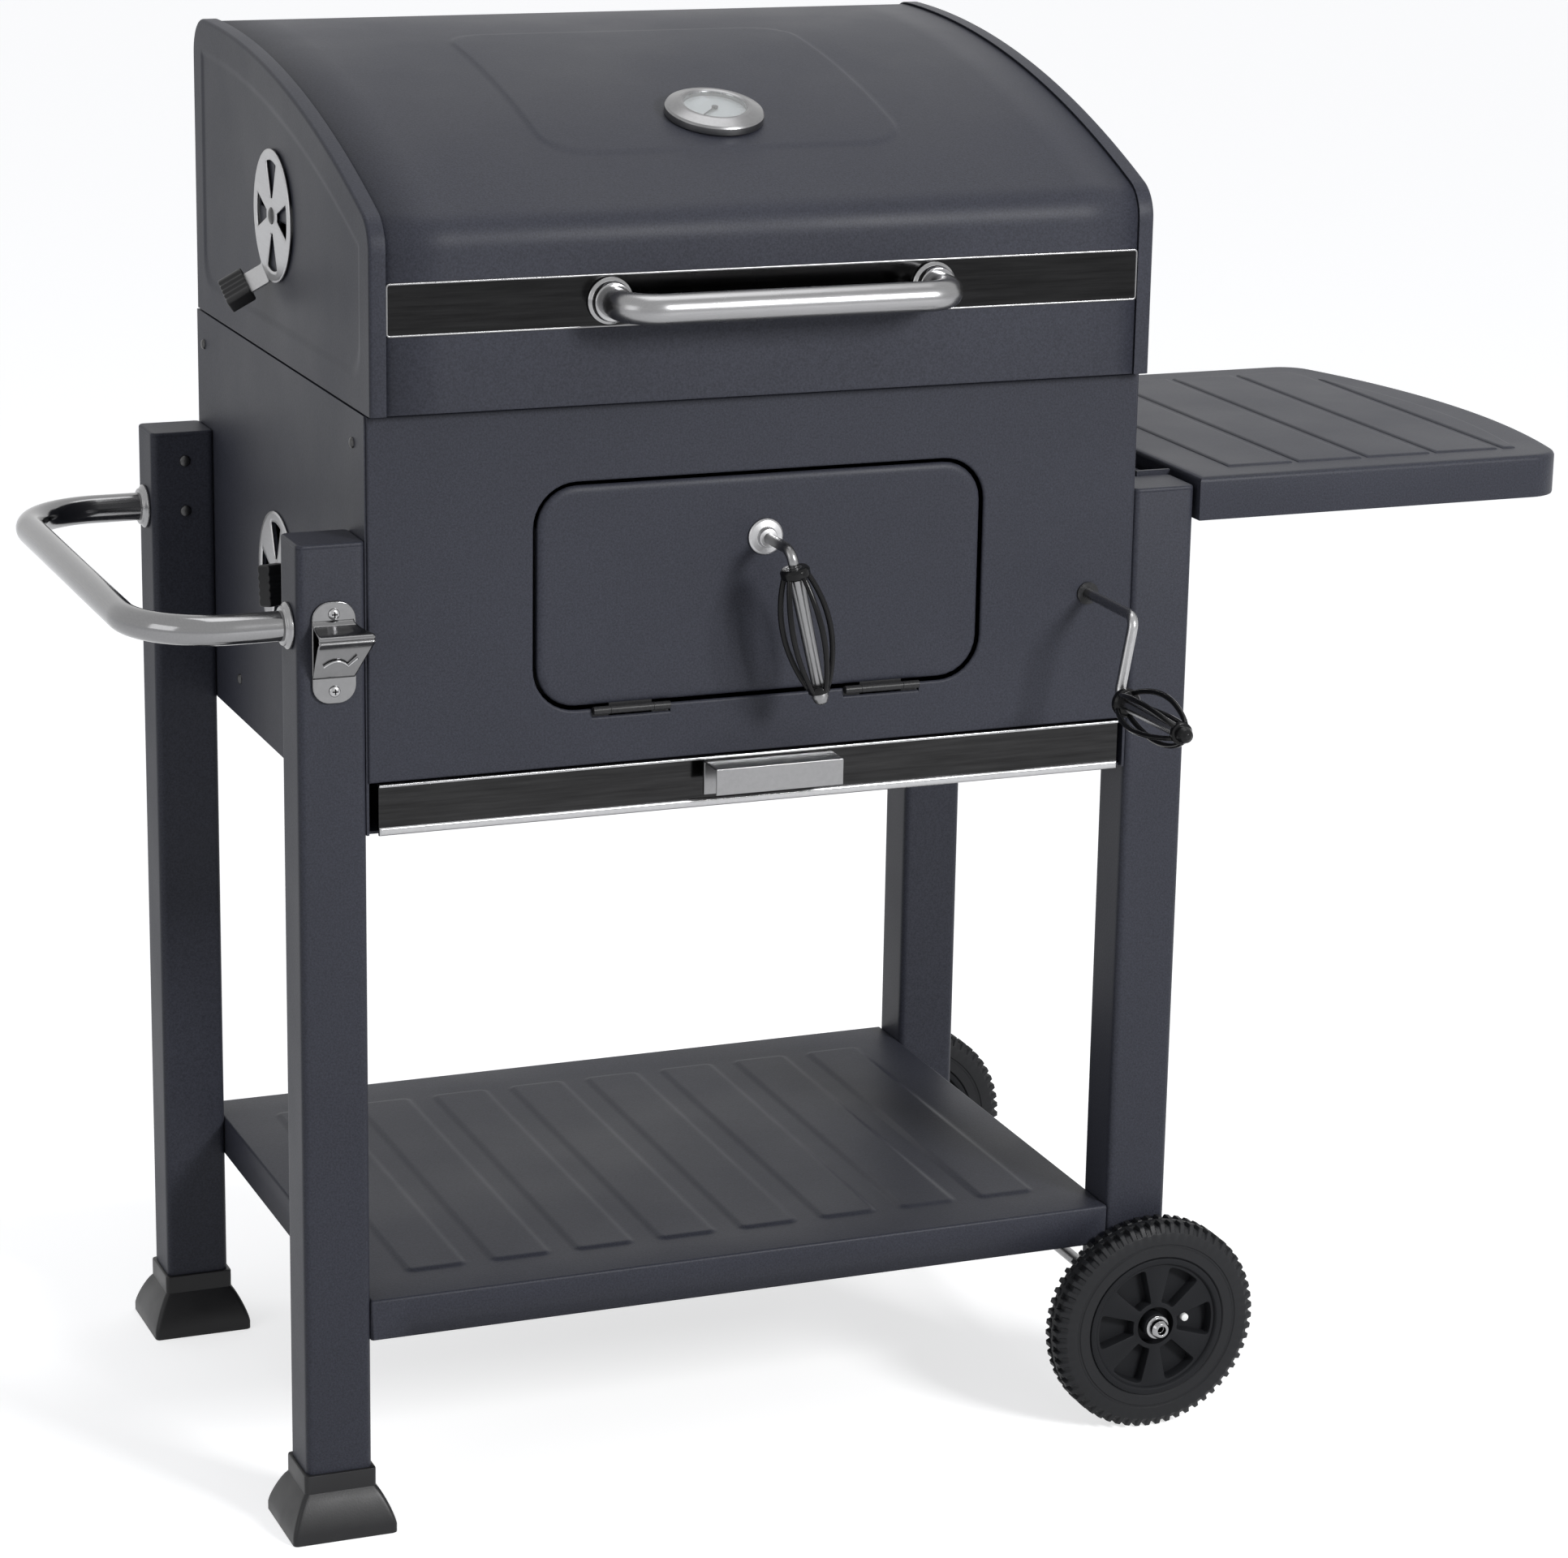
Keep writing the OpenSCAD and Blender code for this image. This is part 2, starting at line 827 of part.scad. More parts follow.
// Probe through the lid with a nut under the sheet
module thermometer_stem() {
    nut_top = -lid_emboss - lid_sheet;
    color("silver") place() on_gauge(0) difference() {
        union() {
            translate([0, 0, -60]) cylinder(r = stem_r, h = 64.5);
            translate([0, 0, nut_top - 5]) cylinder(r = 7, h = 5 - slide, $fn = 6);
        }
        translate([0, 0, -12]) cylinder(r = 1 + fit, h = 20);
    }
}

module thermometer_needle() {
    color("red") place() on_gauge(0) {
        translate([0, 0, -8]) cylinder(r = 1, h = 15.4);
        translate([0, 0, 6]) cylinder(r = 2.4, h = 1.2);
        rotate([0, 0, 135]) translate([-0.5, 0, 6.2]) cube([1, 18, 0.7]);
    }
}

// ---------- Vents ----------

// Turns children so that +X runs along a vent's lever strap, from its bend
module on_strap(z, turn) {
    translate([-half_w - slide - vent_t / 2, vent_y, z]) rotate([turn, 0, 0])
        translate([0, vent_bend_r, 0]) rotate([0, 0, 180 - vent_lean]) children();
}

// A turning disc with its rivet and a lever strap, on the left face x
module vent_disc(z, turn) {
    x = -half_w - slide - vent_t;
    color("dimgray") place() {
        translate([0, vent_y, z]) {
            facing_x(x, vent_t) {
                difference() {
                    circle(r = vent_r);
                    vent_windows();
                }
                rotate(turn) translate([vent_r - 6, -strap_w / 2])
                    square([strap_root - vent_r + 6, strap_w]);
            }
            rotate([turn, 0, 0]) translate([x + vent_t / 2, 0, -strap_w / 2])
                linear_extrude(strap_w) polygon(bent_strap);
            translate([x - 2, 0, 0]) rotate([0, 90, 0]) cylinder(r = 6.5, h = 2);
            translate([x, 0, 0]) rotate([0, 90, 0]) cylinder(r = rivet_r, h = vent_t + sheet + 2 * slide);
            translate([-half_w + sheet + slide, 0, 0]) rotate([0, 90, 0]) cylinder(r = 6, h = 1.5);
        }
    }
}

// The heat-proof sleeve on a vent lever
module vent_sleeve(z, turn) {
    wide = 31;
    thick = 12;
    color("black") place() on_strap(z, turn) difference() {
        block([strap_bare, -thick / 2, -wide / 2], [strap_bare + sleeve_l, thick / 2, wide / 2]);
        block([strap_bare - 1, -vent_t / 2, -strap_w / 2], [strap_l, vent_t / 2, strap_w / 2]);
    }
}

module lid_vent_disc() {
    vent_disc(lid_vent_z, lid_vent_turn);
}

module lid_vent_knob() {
    vent_sleeve(lid_vent_z, lid_vent_turn);
}

module body_vent_disc() {
    vent_disc(box_vent_z, box_vent_turn);
}

module body_vent_knob() {
    vent_sleeve(box_vent_z, box_vent_turn);
}

// ---------- Fire door ----------

module fire_door() {
    edge = 2;
    color("dimgray") place() {
        facing_y(0, sheet) difference() {
            door_outline(0);
            translate([latch_x, latch_z]) circle(r = rod_r + fit);
        }
        for (s = [-1, 1]) {
            x = s * door_w / 2;
            block([min(x, x - s * edge), sheet, door_z0 + door_r],
                  [max(x, x - s * edge), sheet + 7, door_z1 - door_r]);
        }
    }
}

module door_hinge_knuckles() {
    len = 33;
    y = door_axis[0];
    z = door_axis[1];
    color("silver") place()
        for (x = door_hinge_x)
            difference() {
                union() {
                    bar_x(y, z, x - len / 2, x + len / 2, door_knuckle_r);
                    block([x - len / 2, y, z - 1], [x + len / 2, sheet + 1.5, z + 1]);
                    block([x - len / 2, sheet, z - 1], [x + len / 2, sheet + 1.5, z + 24]);
                }
                bar_x(y, z, x - len, x + len, door_pin_r + fit);
            }
}

module door_hinge_pins() {
    half = door_hinge_len / 2;
    gap = 16.5 + slide;
    y = door_axis[0];
    z = door_axis[1];
    color("silver") place()
        for (x = door_hinge_x) {
            bar_x(y, z, x - half, x + half, door_pin_r);
            for (s = [-1, 1]) {
                x0 = min(x + s * gap, x + s * half);
                x1 = max(x + s * gap, x + s * half);
                bar_x(y, z, x0, x1, door_knuckle_r);
                block([x0, y, z - 1], [x1, sheet + 1.5, z + 1]);
                block([x0, sheet, z - 18], [x1, sheet + 1.5, z + 1]);
            }
        }
}

module door_handle_flange() {
    color("silver") place()
        translate([latch_x, 0, latch_z]) rotate([90, 0, 0]) difference() {
            union() {
                cylinder(r = 13.5, h = 3);
                cylinder(r = 9, h = 8);
            }
            translate([0, 0, -1]) cylinder(r = rod_r + fit, h = 10);
        }
}

// A quarter bend of the rod in the Y-Z plane, centred on c, from angle a
module rod_elbow(c, a) {
    translate([0, c[0], c[1]]) rotate([90, 0, 90]) rotate([0, 0, a])
        rotate_extrude(angle = 90) translate([rod_bend, 0]) circle(r = rod_r);
}

// A rod that leaves its pivot forwards from y0, then turns down at y1
module bent_rod(y0, y1, down) {
    bar_y(0, 0, y1 + rod_bend, y0, rod_r);
    rod_elbow([y1 + rod_bend, -rod_bend], 90);
    translate([0, y1, -down]) cylinder(r = rod_r, h = down - rod_bend);
}

// Turns children so that -Z runs down the hanging door handle
module on_latch() {
    translate([latch_x, 0, latch_z]) rotate([0, -latch_tilt, 0]) children();
}

// Puts a grip at the lower end of the door handle
module along_handle() {
    on_latch() translate([0, latch_y, -handle_drop]) rotate([180, 0, 0]) children();
}

// Bare rod of a grip: thick under the top collar, thinner at the tip
module grip_rod() {
    translate([0, 0, 8]) cylinder(r = 6, h = 8);
    translate([0, 0, 16]) cylinder(r1 = 6, r2 = 4.5, h = cage_len - 8);
    translate([0, 0, cage_len + 8]) cylinder(r = 4.5, h = 6);
}

// Cooling cage: five bowed wires between two collars
module grip_cage() {
    wire = 1.5;
    end_r = 7.6;
    rise = cage_r - wire - end_r;
    bow = (cage_len * cage_len / 4 + rise * rise) / (2 * rise);
    half = asin(cage_len / 2 / bow);
    difference() {
        translate([0, 0, 8]) cylinder(r = 11, h = 8);
        translate([0, 0, 7]) cylinder(r = 6, h = 10);
    }
    difference() {
        translate([0, 0, cage_len + 8]) cylinder(r = 9.3, h = 14);
        translate([0, 0, cage_len + 7]) cylinder(r = 4.5, h = 7);
    }
    for (a = [0 : 72 : 288])
        rotate(a) translate([cage_r - wire - bow, 0, 12 + cage_len / 2]) rotate([90, 0, 0])
            rotate([0, 0, -half]) rotate_extrude(angle = 2 * half)
                translate([bow, 0]) circle(r = wire, $fn = 24);
}

module door_handle_rod() {
    color("silver") place() {
        on_latch() bent_rod(sheet + 7, latch_y, handle_drop + 8);
        along_handle() grip_rod();
    }
}

module door_handle_grip() {
    color("black") place() along_handle() grip_cage();
}

// Turn latch behind the door: lies sideways with the handle down
module door_latch() {
    lean = 103;
    tip = [latch_x - latch_arm * sin(lean), latch_z + latch_arm * cos(lean)];
    color("silver") place() facing_y(sheet + 2, 2.5) difference() {
        link([latch_x, latch_z], tip, 7);
        translate([latch_x, latch_z]) circle(r = rod_r);
    }
}

// ---------- Ash drawer ----------

module ash_drawer() {
    skin = 1.5;
    color("dimgray") place() difference() {
        block([-drawer_in, 2, drawer_z], [drawer_in, body_d - 15, drawer_z + 30]);
        block([-drawer_in + skin, 2 + skin, drawer_z + skin],
              [drawer_in - skin, body_d - 15 - skin, drawer_z + 31]);
    }
}

module drawer_front() {
    x = half_w - 8;
    color("dimgray") place() {
        block([-x, -1, box_z], [x, 2, box_z + drawer_h]);
        block([-x, -3, box_z], [x, -1, box_z + 2]);
        block([-x, -3, box_z + drawer_h - 2], [x, -1, box_z + drawer_h]);
    }
}

// Folded channel pull, open below
module drawer_pull() {
    half = 50;
    top = box_z + drawer_h - 3;
    color("dimgray") place() {
        block([pull_x - half, -28, top - 1.5], [pull_x + half, -1, top]);
        block([pull_x - half, -28, top - 20], [pull_x + half, -26.5, top - 1.5]);
        block([pull_x - half, -2.5, top - 26], [pull_x + half, -1, top - 1.5]);
    }
}

// ---------- Charcoal lift ----------

// Turns children so that -Z runs down the crank's hanging arm
module on_crank() {
    translate([crank_x, 0, crank_z]) rotate([0, crank_tilt, 0]) children();
}

// Puts a grip on the crank's lower end, pointing forwards
module along_crank() {
    on_crank() translate([0, crank_y, -crank_arm]) rotate([90, 0, 0]) children();
}

module crank_shaft() {
    color("silver") place() {
        on_crank() {
            bent_rod(body_d - 8, crank_y, crank_arm - rod_bend);
            rod_elbow([crank_y - rod_bend, rod_bend - crank_arm], -90);
        }
        along_crank() translate([0, 0, 1]) grip_rod();
    }
}

module crank_grip() {
    color("black") place() along_crank() translate([0, 0, 1]) grip_cage();
}

// A pair of lifting arms from pivot x to pin x, front and back
module arm_pair(x, px, pivot_r, hole_r) {
    for (y = [arm_y, body_d - arm_y - arm_t])
        facing_y(y, arm_t) difference() {
            link([x, crank_z], [px, pin_z], 9);
            translate([x, crank_z]) circle(r = pivot_r);
            translate([px, pin_z]) circle(r = hole_r);
        }
}

module lift_levers_right() {
    color("silver") place() arm_pair(crank_x, pin_x, rod_r, lift_pin_r + fit);
}

module lift_levers_left() {
    color("silver") place() arm_pair(lift_left_x, pin_left_x, rod_r + fit, lift_pin_r + 0.5);
}

// Bushes for the crank shaft and fixed studs for the left arms
module lift_bearings() {
    reach = arm_y + arm_t + 1;
    color("silver") place() {
        difference() {
            union() {
                bar_y(crank_x, crank_z, -1.5, sheet + 6, 7);
                bar_y(crank_x, crank_z, -1.5, 0, 8.5);
                bar_y(crank_x, crank_z, body_d - sheet - 12, body_d - sheet, 9);
            }
            bar_y(crank_x, crank_z, -5, body_d - 7, rod_r + fit);
        }
        for (s = [0, 1]) {
            inner = s ? body_d - sheet : sheet;
            tip = s ? body_d - reach : reach;
            collar = s ? inner - 8 : inner + 8;
            bar_y(lift_left_x, crank_z, min(inner, tip), max(inner, tip), rod_r);
            bar_y(lift_left_x, crank_z, min(inner, collar), max(inner, collar), 9);
        }
    }
}

// Slotted charcoal pan with four hanging pins
module charcoal_tray() {
    y1 = body_d - tray_y;
    slots = 13;
    pitch = (tray_x1 - tray_x0 - 30) / slots;
    color("dimgray") place() {
        difference() {
            block([tray_x0, tray_y, tray_z0], [tray_x1, y1, tray_z0 + tray_h]);
            block([tray_x0 + tray_t, tray_y + tray_t, tray_z0 + tray_t],
                  [tray_x1 - tray_t, y1 - tray_t, tray_z0 + tray_h + 1]);
            for (i = [0 : slots - 1], y = [tray_y + 25, tray_y + 145, tray_y + 265])
                translate([tray_x0 + 15 + (i + 0.5) * pitch, y, tray_z0 - 1])
                    linear_extrude(4) rounded([-5, 0], [5, 90], 4.9);
        }
        for (x = [pin_x, pin_left_x]) {
            bar_y(x, pin_z, arm_y - 2, tray_y, lift_pin_r);
            bar_y(x, pin_z, y1, body_d - arm_y + 2, lift_pin_r);
        }
    }
}

// ---------- Side shelf ----------

// Plan outline of the shelf, pulled in by inset, with a bowed outer edge
module side_plan(inset) {
    r = side_bulge - inset;
    cr = side_corner - inset;
    far = side_bulge - side_corner;
    ya = side_y0 + side_corner;
    yb = side_y1 - side_corner;
    ca = [side_c[0] + sqrt(far * far - pow(ya - side_c[1], 2)), ya];
    cb = [side_c[0] + sqrt(far * far - pow(yb - side_c[1], 2)), yb];
    difference() {
        intersection() {
            translate([side_x0 + max(inset, 0), side_y0 + inset]) square([500, side_shelf_w - 2 * inset]);
            translate(side_c) circle(r = r);
        }
        corner_cut(ca, [0, -1], (ca - side_c) / norm(ca - side_c));
        corner_cut(cb, [0, 1], (cb - side_c) / norm(cb - side_c));
    }
    translate(ca) circle(r = cr);
    translate(cb) circle(r = cr);
}

module side_shelf() {
    pads = 5;
    first = side_x0 + 39;
    pitch = 60;
    groove = 5;
    color("dimgray") place() {
        difference() {
            translate([0, 0, side_z - side_skirt]) linear_extrude(side_skirt) side_plan(0);
            translate([0, 0, side_z - side_skirt - 1])
                linear_extrude(side_skirt - side_t + 1) side_plan(side_t);
            block([side_x0 - 1, side_y0 + side_t, side_z - side_skirt - 1],
                  [side_x0 + 5, side_y1 - side_t, side_z - side_t]);
            translate([side_x0, side_y0 - 1, side_z - side_skirt]) rotate([0, 45, 0])
                translate([-10, 0, -10]) cube([20, side_shelf_w + 2, 14.3]);
        }
        translate([0, 0, side_z]) linear_extrude(1.3) intersection() {
            side_plan(30);
            for (i = [0 : pads - 1])
                translate([first + i * pitch, side_y0 + 31]) square([pitch - groove, side_shelf_w - 62]);
        }
    }
}

// Ears under the shelf that turn on the fold pins
module shelf_lugs() {
    color("dimgray") place()
        for (y = [leg_d + 5.5, 380])
            facing_y(y, lug_t) difference() {
                union() {
                    translate(fold) circle(r = 10);
                    translate([fold[0] - 6, fold[1]]) square([60, side_z - side_t - fold[1]]);
                }
                translate(fold) circle(r = fold_pin_r + fit);
            }
}

// Rail between the right legs with fixed ears and the fold pins
module shelf_rail() {
    rail = 20;
    x0 = leg_out - 22;
    z0 = fold[1] - 11;
    color("dimgray") place() {
        difference() {
            block([x0, leg_d, z0], [x0 + rail, leg_back, z0 + rail]);
            block([x0 + 2, leg_d - 1, z0 + 2], [x0 + rail - 2, leg_back + 1, z0 + rail - 2]);
        }
        for (y = [leg_d + 5.5 - slide - lug_t, 380 + lug_t + slide]) {
            facing_y(y, lug_t) difference() {
                union() {
                    translate(fold) circle(r = 11);
                    translate([x0 - 4, z0 + rail]) square([28, 9]);
                    translate([x0 + rail, z0 + 1]) square([fold[0] - x0 - rail, 21]);
                }
                translate([x0, z0]) square([rail, rail]);
            }
        }
        bar_y(fold[0], fold[1], leg_d + 5.5 - slide, leg_d + 5.5 + lug_t + 2, fold_pin_r);
        bar_y(fold[0], fold[1], 380 - 2, 380 + lug_t + slide, fold_pin_r);
    }
}

// ---------- Output ----------
leg_front_left();
leg_front_right();
leg_back_left();
leg_back_right();
leg_caps();
feet();
bottom_shelf();
front_panel();
back_panel();
side_panel_left();
side_panel_right();
grate_ledges();
cooking_grates();
drawer_runners();
wheel_axle();
hub_nuts();
push_handle();
push_handle_flanges();
bottle_opener();
screws();
shelf_rail();
lid_hinge_brackets();
door_hinge_pins();
lift_bearings();
lid_shell();
lid_cap_left();
lid_cap_right();
lid_trim();
lid_handle();
lid_handle_flanges();
thermometer_bezel();
thermometer_dial();
thermometer_glass();
thermometer_stem();
lid_hinge_leaves();
thermometer_needle();
lid_vent_disc();
lid_vent_knob();
body_vent_disc();
body_vent_knob();
fire_door();
door_hinge_knuckles();
door_handle_flange();
door_handle_rod();
door_handle_grip();
door_latch();
ash_drawer();
drawer_front();
drawer_pull();
crank_shaft();
crank_grip();
lift_levers_right();
lift_levers_left();
charcoal_tray();
side_shelf();
shelf_lugs();
wheel_front();
tyre_front();
wheel_back();
tyre_back();
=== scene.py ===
"""Dresses the charcoal grill trolley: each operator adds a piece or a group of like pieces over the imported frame."""

import json
import math

import bmesh
import bpy
import numpy as np
from mathutils import Matrix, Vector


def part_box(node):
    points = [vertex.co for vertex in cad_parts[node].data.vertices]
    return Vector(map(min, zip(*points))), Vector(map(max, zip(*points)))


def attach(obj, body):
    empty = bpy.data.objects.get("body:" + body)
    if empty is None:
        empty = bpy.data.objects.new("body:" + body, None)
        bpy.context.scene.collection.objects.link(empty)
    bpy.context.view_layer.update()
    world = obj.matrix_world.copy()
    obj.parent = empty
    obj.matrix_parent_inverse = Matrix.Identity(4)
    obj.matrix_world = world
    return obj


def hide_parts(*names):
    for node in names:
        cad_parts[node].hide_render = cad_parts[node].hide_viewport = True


bl_info = {
    "name": "Charcoal Grill Trolley",
    "version": (1, 0, 0),
    "blender": (4, 5, 0),
    "location": "View3D > Sidebar > Grill",
    "description": "Adds the finished pieces of a charcoal grill trolley over its packed frame",
    "category": "Add Mesh",
}

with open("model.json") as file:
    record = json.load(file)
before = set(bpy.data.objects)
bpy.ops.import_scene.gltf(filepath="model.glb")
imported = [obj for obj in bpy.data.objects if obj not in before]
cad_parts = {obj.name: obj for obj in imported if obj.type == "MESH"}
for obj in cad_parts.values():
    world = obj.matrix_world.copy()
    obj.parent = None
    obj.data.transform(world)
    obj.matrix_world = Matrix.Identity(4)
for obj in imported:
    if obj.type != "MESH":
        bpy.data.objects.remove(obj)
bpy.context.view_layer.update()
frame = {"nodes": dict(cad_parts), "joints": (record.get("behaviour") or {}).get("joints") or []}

MM = 0.001
TINY = 1e-9
SAME_PLACE, NO_AREA = 1e-6, 1e-7
X, Y, Z = np.eye(3)
# The two directions of an outline's plane and the one its heights go in.
UP, FRONT, DEPTH, ACROSS = (X, Y, Z), (X, Z, -Y), (X, Z, Y), (Y, Z, X)
# Sockets of a mix node that mixes colours.
MIX_FACTOR, MIX_FIRST, MIX_SECOND, MIX_RESULT = 0, 6, 7, 2


# ---------------------------------------------------------------- places from the frame


def lo(node):
    """Lowest corner of a frame node as an array, in metres."""
    return np.array(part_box(node)[0])


def hi(node):
    """Highest corner of a frame node as an array, in metres."""
    return np.array(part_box(node)[1])


def ends(node):
    """Lowest and highest corner of a frame node."""
    return lo(node), hi(node)


def mid(node):
    """Middle of a frame node's box, in metres."""
    return (lo(node) + hi(node)) / 2


JOINTS = {joint["name"]: joint for joint in frame["joints"]}


def joint_at(name):
    """Rest position of a joint's axis, in metres."""
    return np.array(JOINTS[name]["pos_m"])


def joint_axis(name):
    """Direction of a joint's axis."""
    return np.array(JOINTS[name]["axis"], float)


# ---------------------------------------------------------------- curves and surfaces


def mm(*rows):
    """Rows of millimetres as an array in metres."""
    return MM * np.array(rows, float)


def unit(v):
    """A vector, or each row of an array of vectors, at length 1."""
    v = np.asarray(v, float)
    return v / np.linalg.norm(v, axis=-1, keepdims=True)


def rays(angles):
    """Unit vectors (cos a, sin a), one for each angle."""
    return np.stack([np.cos(angles), np.sin(angles)], 1)


def full_turn(count):
    """Angles that go round once in even steps."""
    return np.linspace(0, 2 * np.pi, count, endpoint=False)


def turned(angle, u, v):
    """The direction u turned by an angle towards v, and the one a quarter turn further."""
    return math.cos(angle) * u + math.sin(angle) * v, -math.sin(angle) * u + math.cos(angle) * v


def arc(centre, radius, start, stop, count):
    """Points on a circle arc: centre + radius * (cos a, sin a), with a going evenly from start to stop degrees."""
    return np.array(centre) + radius * rays(np.radians(np.linspace(start, stop, count)))


def round_rect(low, high, radius):
    """Closed outline of a rectangle with round corners: four quarter arcs whose centres sit one radius inside
    each corner. Each straight stretch has a point near both of its ends, so that shading stays flat between them."""
    (x0, y0), (x1, y1) = np.array(low) + radius, np.array(high) - radius
    centres = (x1, y0), (x1, y1), (x0, y1), (x0, y0)
    arcs = [arc(centre, radius, 90 * k - 90, 90 * k, 8) for k, centre in enumerate(centres)]
    parts = []
    for i, here in enumerate(arcs):
        run = arcs[(i + 1) % 4][0] - here[-1]
        step = run * min(radius / 2 / max(np.linalg.norm(run), TINY), 0.25)
        parts += [here, [here[-1] + step, here[-1] + run - step]]
    return np.concatenate(parts)


def rings_of(rows, axes, origin=(0, 0, 0)):
    """Carries plane outlines into space. rows holds (outline, height) pairs, axes three directions u, v and w, and
    each point of an outline goes to origin + x * u + y * v + height * w."""
    u, v, w = axes
    rings = [(np.asarray(outline), height) for outline, height in rows]
    return np.array([np.asarray(origin) + flat[:, :1] * u + flat[:, 1:2] * v + height * w for flat, height in rings])


def edge_levels(thickness, radius, steps, bottom_radius):
    """(inset, height) pairs of a plate's edge: a quarter round at the bottom, the straight side, a quarter round
    at the top, and a ring just inside each face. On the quarter rounds inset = r (1 - sin a) and
    height = r (1 - cos a)."""
    rb = radius if bottom_radius is None else bottom_radius
    a = np.linspace(0, np.pi / 2, steps + 1)
    held = 1.3
    lower = [(rb * (1 - np.sin(t)), rb * (1 - np.cos(t))) for t in a]
    upper = [(radius * (1 - np.cos(t)), thickness - radius * (1 - np.sin(t))) for t in a]
    return [(held * rb, 0)] + lower + upper + [(held * radius, thickness)]


def tangents(path):
    """Unit tangents along a path. A tangent halves the angle between the two runs that meet there."""
    run = unit(np.diff(np.asarray(path, float), axis=0))
    return unit(np.concatenate([run[:1], run[1:] + run[:-1], run[-1:]]))


def plane_normals(path):
    """Unit normals of a path in a plane: its tangents a quarter turn round."""
    along = tangents(path)
    return np.stack([-along[:, 1], along[:, 0]], 1)


def tube(path, radius, count):
    """Round bar along a path; radius may be one value or one for each point of the path. The first normal is
    carried on by taking away, at each point, what of it lies along the new tangent, so that the bar doesn't twist."""
    t = tangents(path)
    n = np.zeros_like(t)
    n[0] = unit(np.cross(t[0], Z if abs(t[0, 2]) < 0.9 else X))
    for i in range(1, len(t)):
        n[i] = unit(n[i - 1] - t[i] * (n[i - 1] @ t[i]))
    a = full_turn(count)
    r = np.broadcast_to(np.asarray(radius, float), (len(path),))[:, None, None]
    round_it = np.cos(a)[:, None] * n[:, None] + np.sin(a)[:, None] * np.cross(t, n)[:, None]
    return skin(np.asarray(path)[:, None] + r * round_it)


def rounded_path(points, radius, steps):
    """A path of straight runs whose corners are rounded: each corner is replaced by a circle arc tangent to both
    runs, whose centre lies on the bisector at radius / sin(half the angle between them)."""
    points = [np.asarray(p, float) for p in points]
    out = [points[0]]
    for before, here, after in zip(points, points[1:], points[2:]):
        a, b = unit(before - here), unit(after - here)
        half = math.acos(np.clip(a @ b, -1, 1)) / 2
        reach = radius / math.tan(half)
        centre = here + unit(a + b) * radius / math.sin(half)
        p, q = here + a * reach - centre, here + b * reach - centre
        angle = math.pi - 2 * half
        for t in np.linspace(0, 1, steps + 1):
            out.append(centre + (math.sin((1 - t) * angle) * p + math.sin(t * angle) * q) / math.sin(angle))
    return np.array(out + [points[-1]])


def smooth_step(x, a, b):
    """0 below a, 1 above b, and 3t^2 - 2t^3 between them."""
    t = np.clip((x - a) / (b - a), 0, 1)
    return t * t * (3 - 2 * t)


# ---------------------------------------------------------------- meshes


def grid_faces(rows, cols, wrap_rows, wrap_cols, keep):
    """Quads between neighbouring points of a rows x cols grid, as an index array. keep may drop cells."""
    r = np.arange(rows if wrap_rows else rows - 1)
    c = np.arange(cols if wrap_cols else cols - 1)
    i, j = np.meshgrid(r, c, indexing="ij")
    if keep is not None:
        i, j = i[keep], j[keep]
    i, j = i.ravel(), j.ravel()
    i1, j1 = (i + 1) % rows, (j + 1) % cols
    return np.stack([i * cols + j, i1 * cols + j, i1 * cols + j1, i * cols + j1], 1)


def skin(points, closed=True, caps=True, wrap_rows=False, keep=None):
    """A part made of a grid of points (rows, cols, 3): quads between rings, and a flat face on each end, or with
    caps "end" on the last ring only."""
    rows, cols = points.shape[:2]
    faces = [tuple(f) for f in grid_faces(rows, cols, wrap_rows, closed, keep)]
    if caps and not wrap_rows:
        if caps != "end":
            faces.append(tuple(range(cols))[::-1])
        faces.append(tuple(range((rows - 1) * cols, rows * cols)))
    return points.reshape(-1, 3), faces


def slab(outline, thickness, radius, axes, origin, steps=3, back_radius=None):
    """A plate with rounded edges. outline(inset) gives its closed outline, pulled in by inset."""
    levels = edge_levels(thickness, radius, steps, back_radius)
    return skin(rings_of([(outline(inset), height) for inset, height in levels], axes, origin))


def lathe(profile, axis_point, axis, count):
    """A turned part: a profile of (radius, height) pairs carried round the axis through axis_point. It is closed on
    its axis or, if it has a bore, round its section."""
    w = unit(axis)
    u = unit(np.cross(w, X if abs(w[0]) < 0.9 else Y))
    a = full_turn(count)
    turn = np.cos(a)[:, None] * u + np.sin(a)[:, None] * np.cross(w, u)
    r, h = np.asarray(profile, float).T[:, :, None, None]
    bored = min(abs(profile[0][0]), abs(profile[-1][0])) > SAME_PLACE
    return skin(np.asarray(axis_point) + r * turn + h * w, caps=not bored, wrap_rows=bored)


def soft_profile(corners, radius, steps=3):
    """Rounds the corners of an open (radius, height) profile with short arcs, as rounded_path does."""
    return rounded_path([(r, h, 0.0) for r, h in corners], radius, steps)[:, :2]


STEEL_SLOT = "polished_steel"
SLOTS = {
    "paint": "anthracite_steel",
    "black": "black_plastic",
    "wire": "black_wire",
    "wheel": "wheel_plastic",
    "tyre": "tyre_plastic",
    "white": "dial_white",
    "dial": "dial_white",
    "glass": "gauge_glass",
}


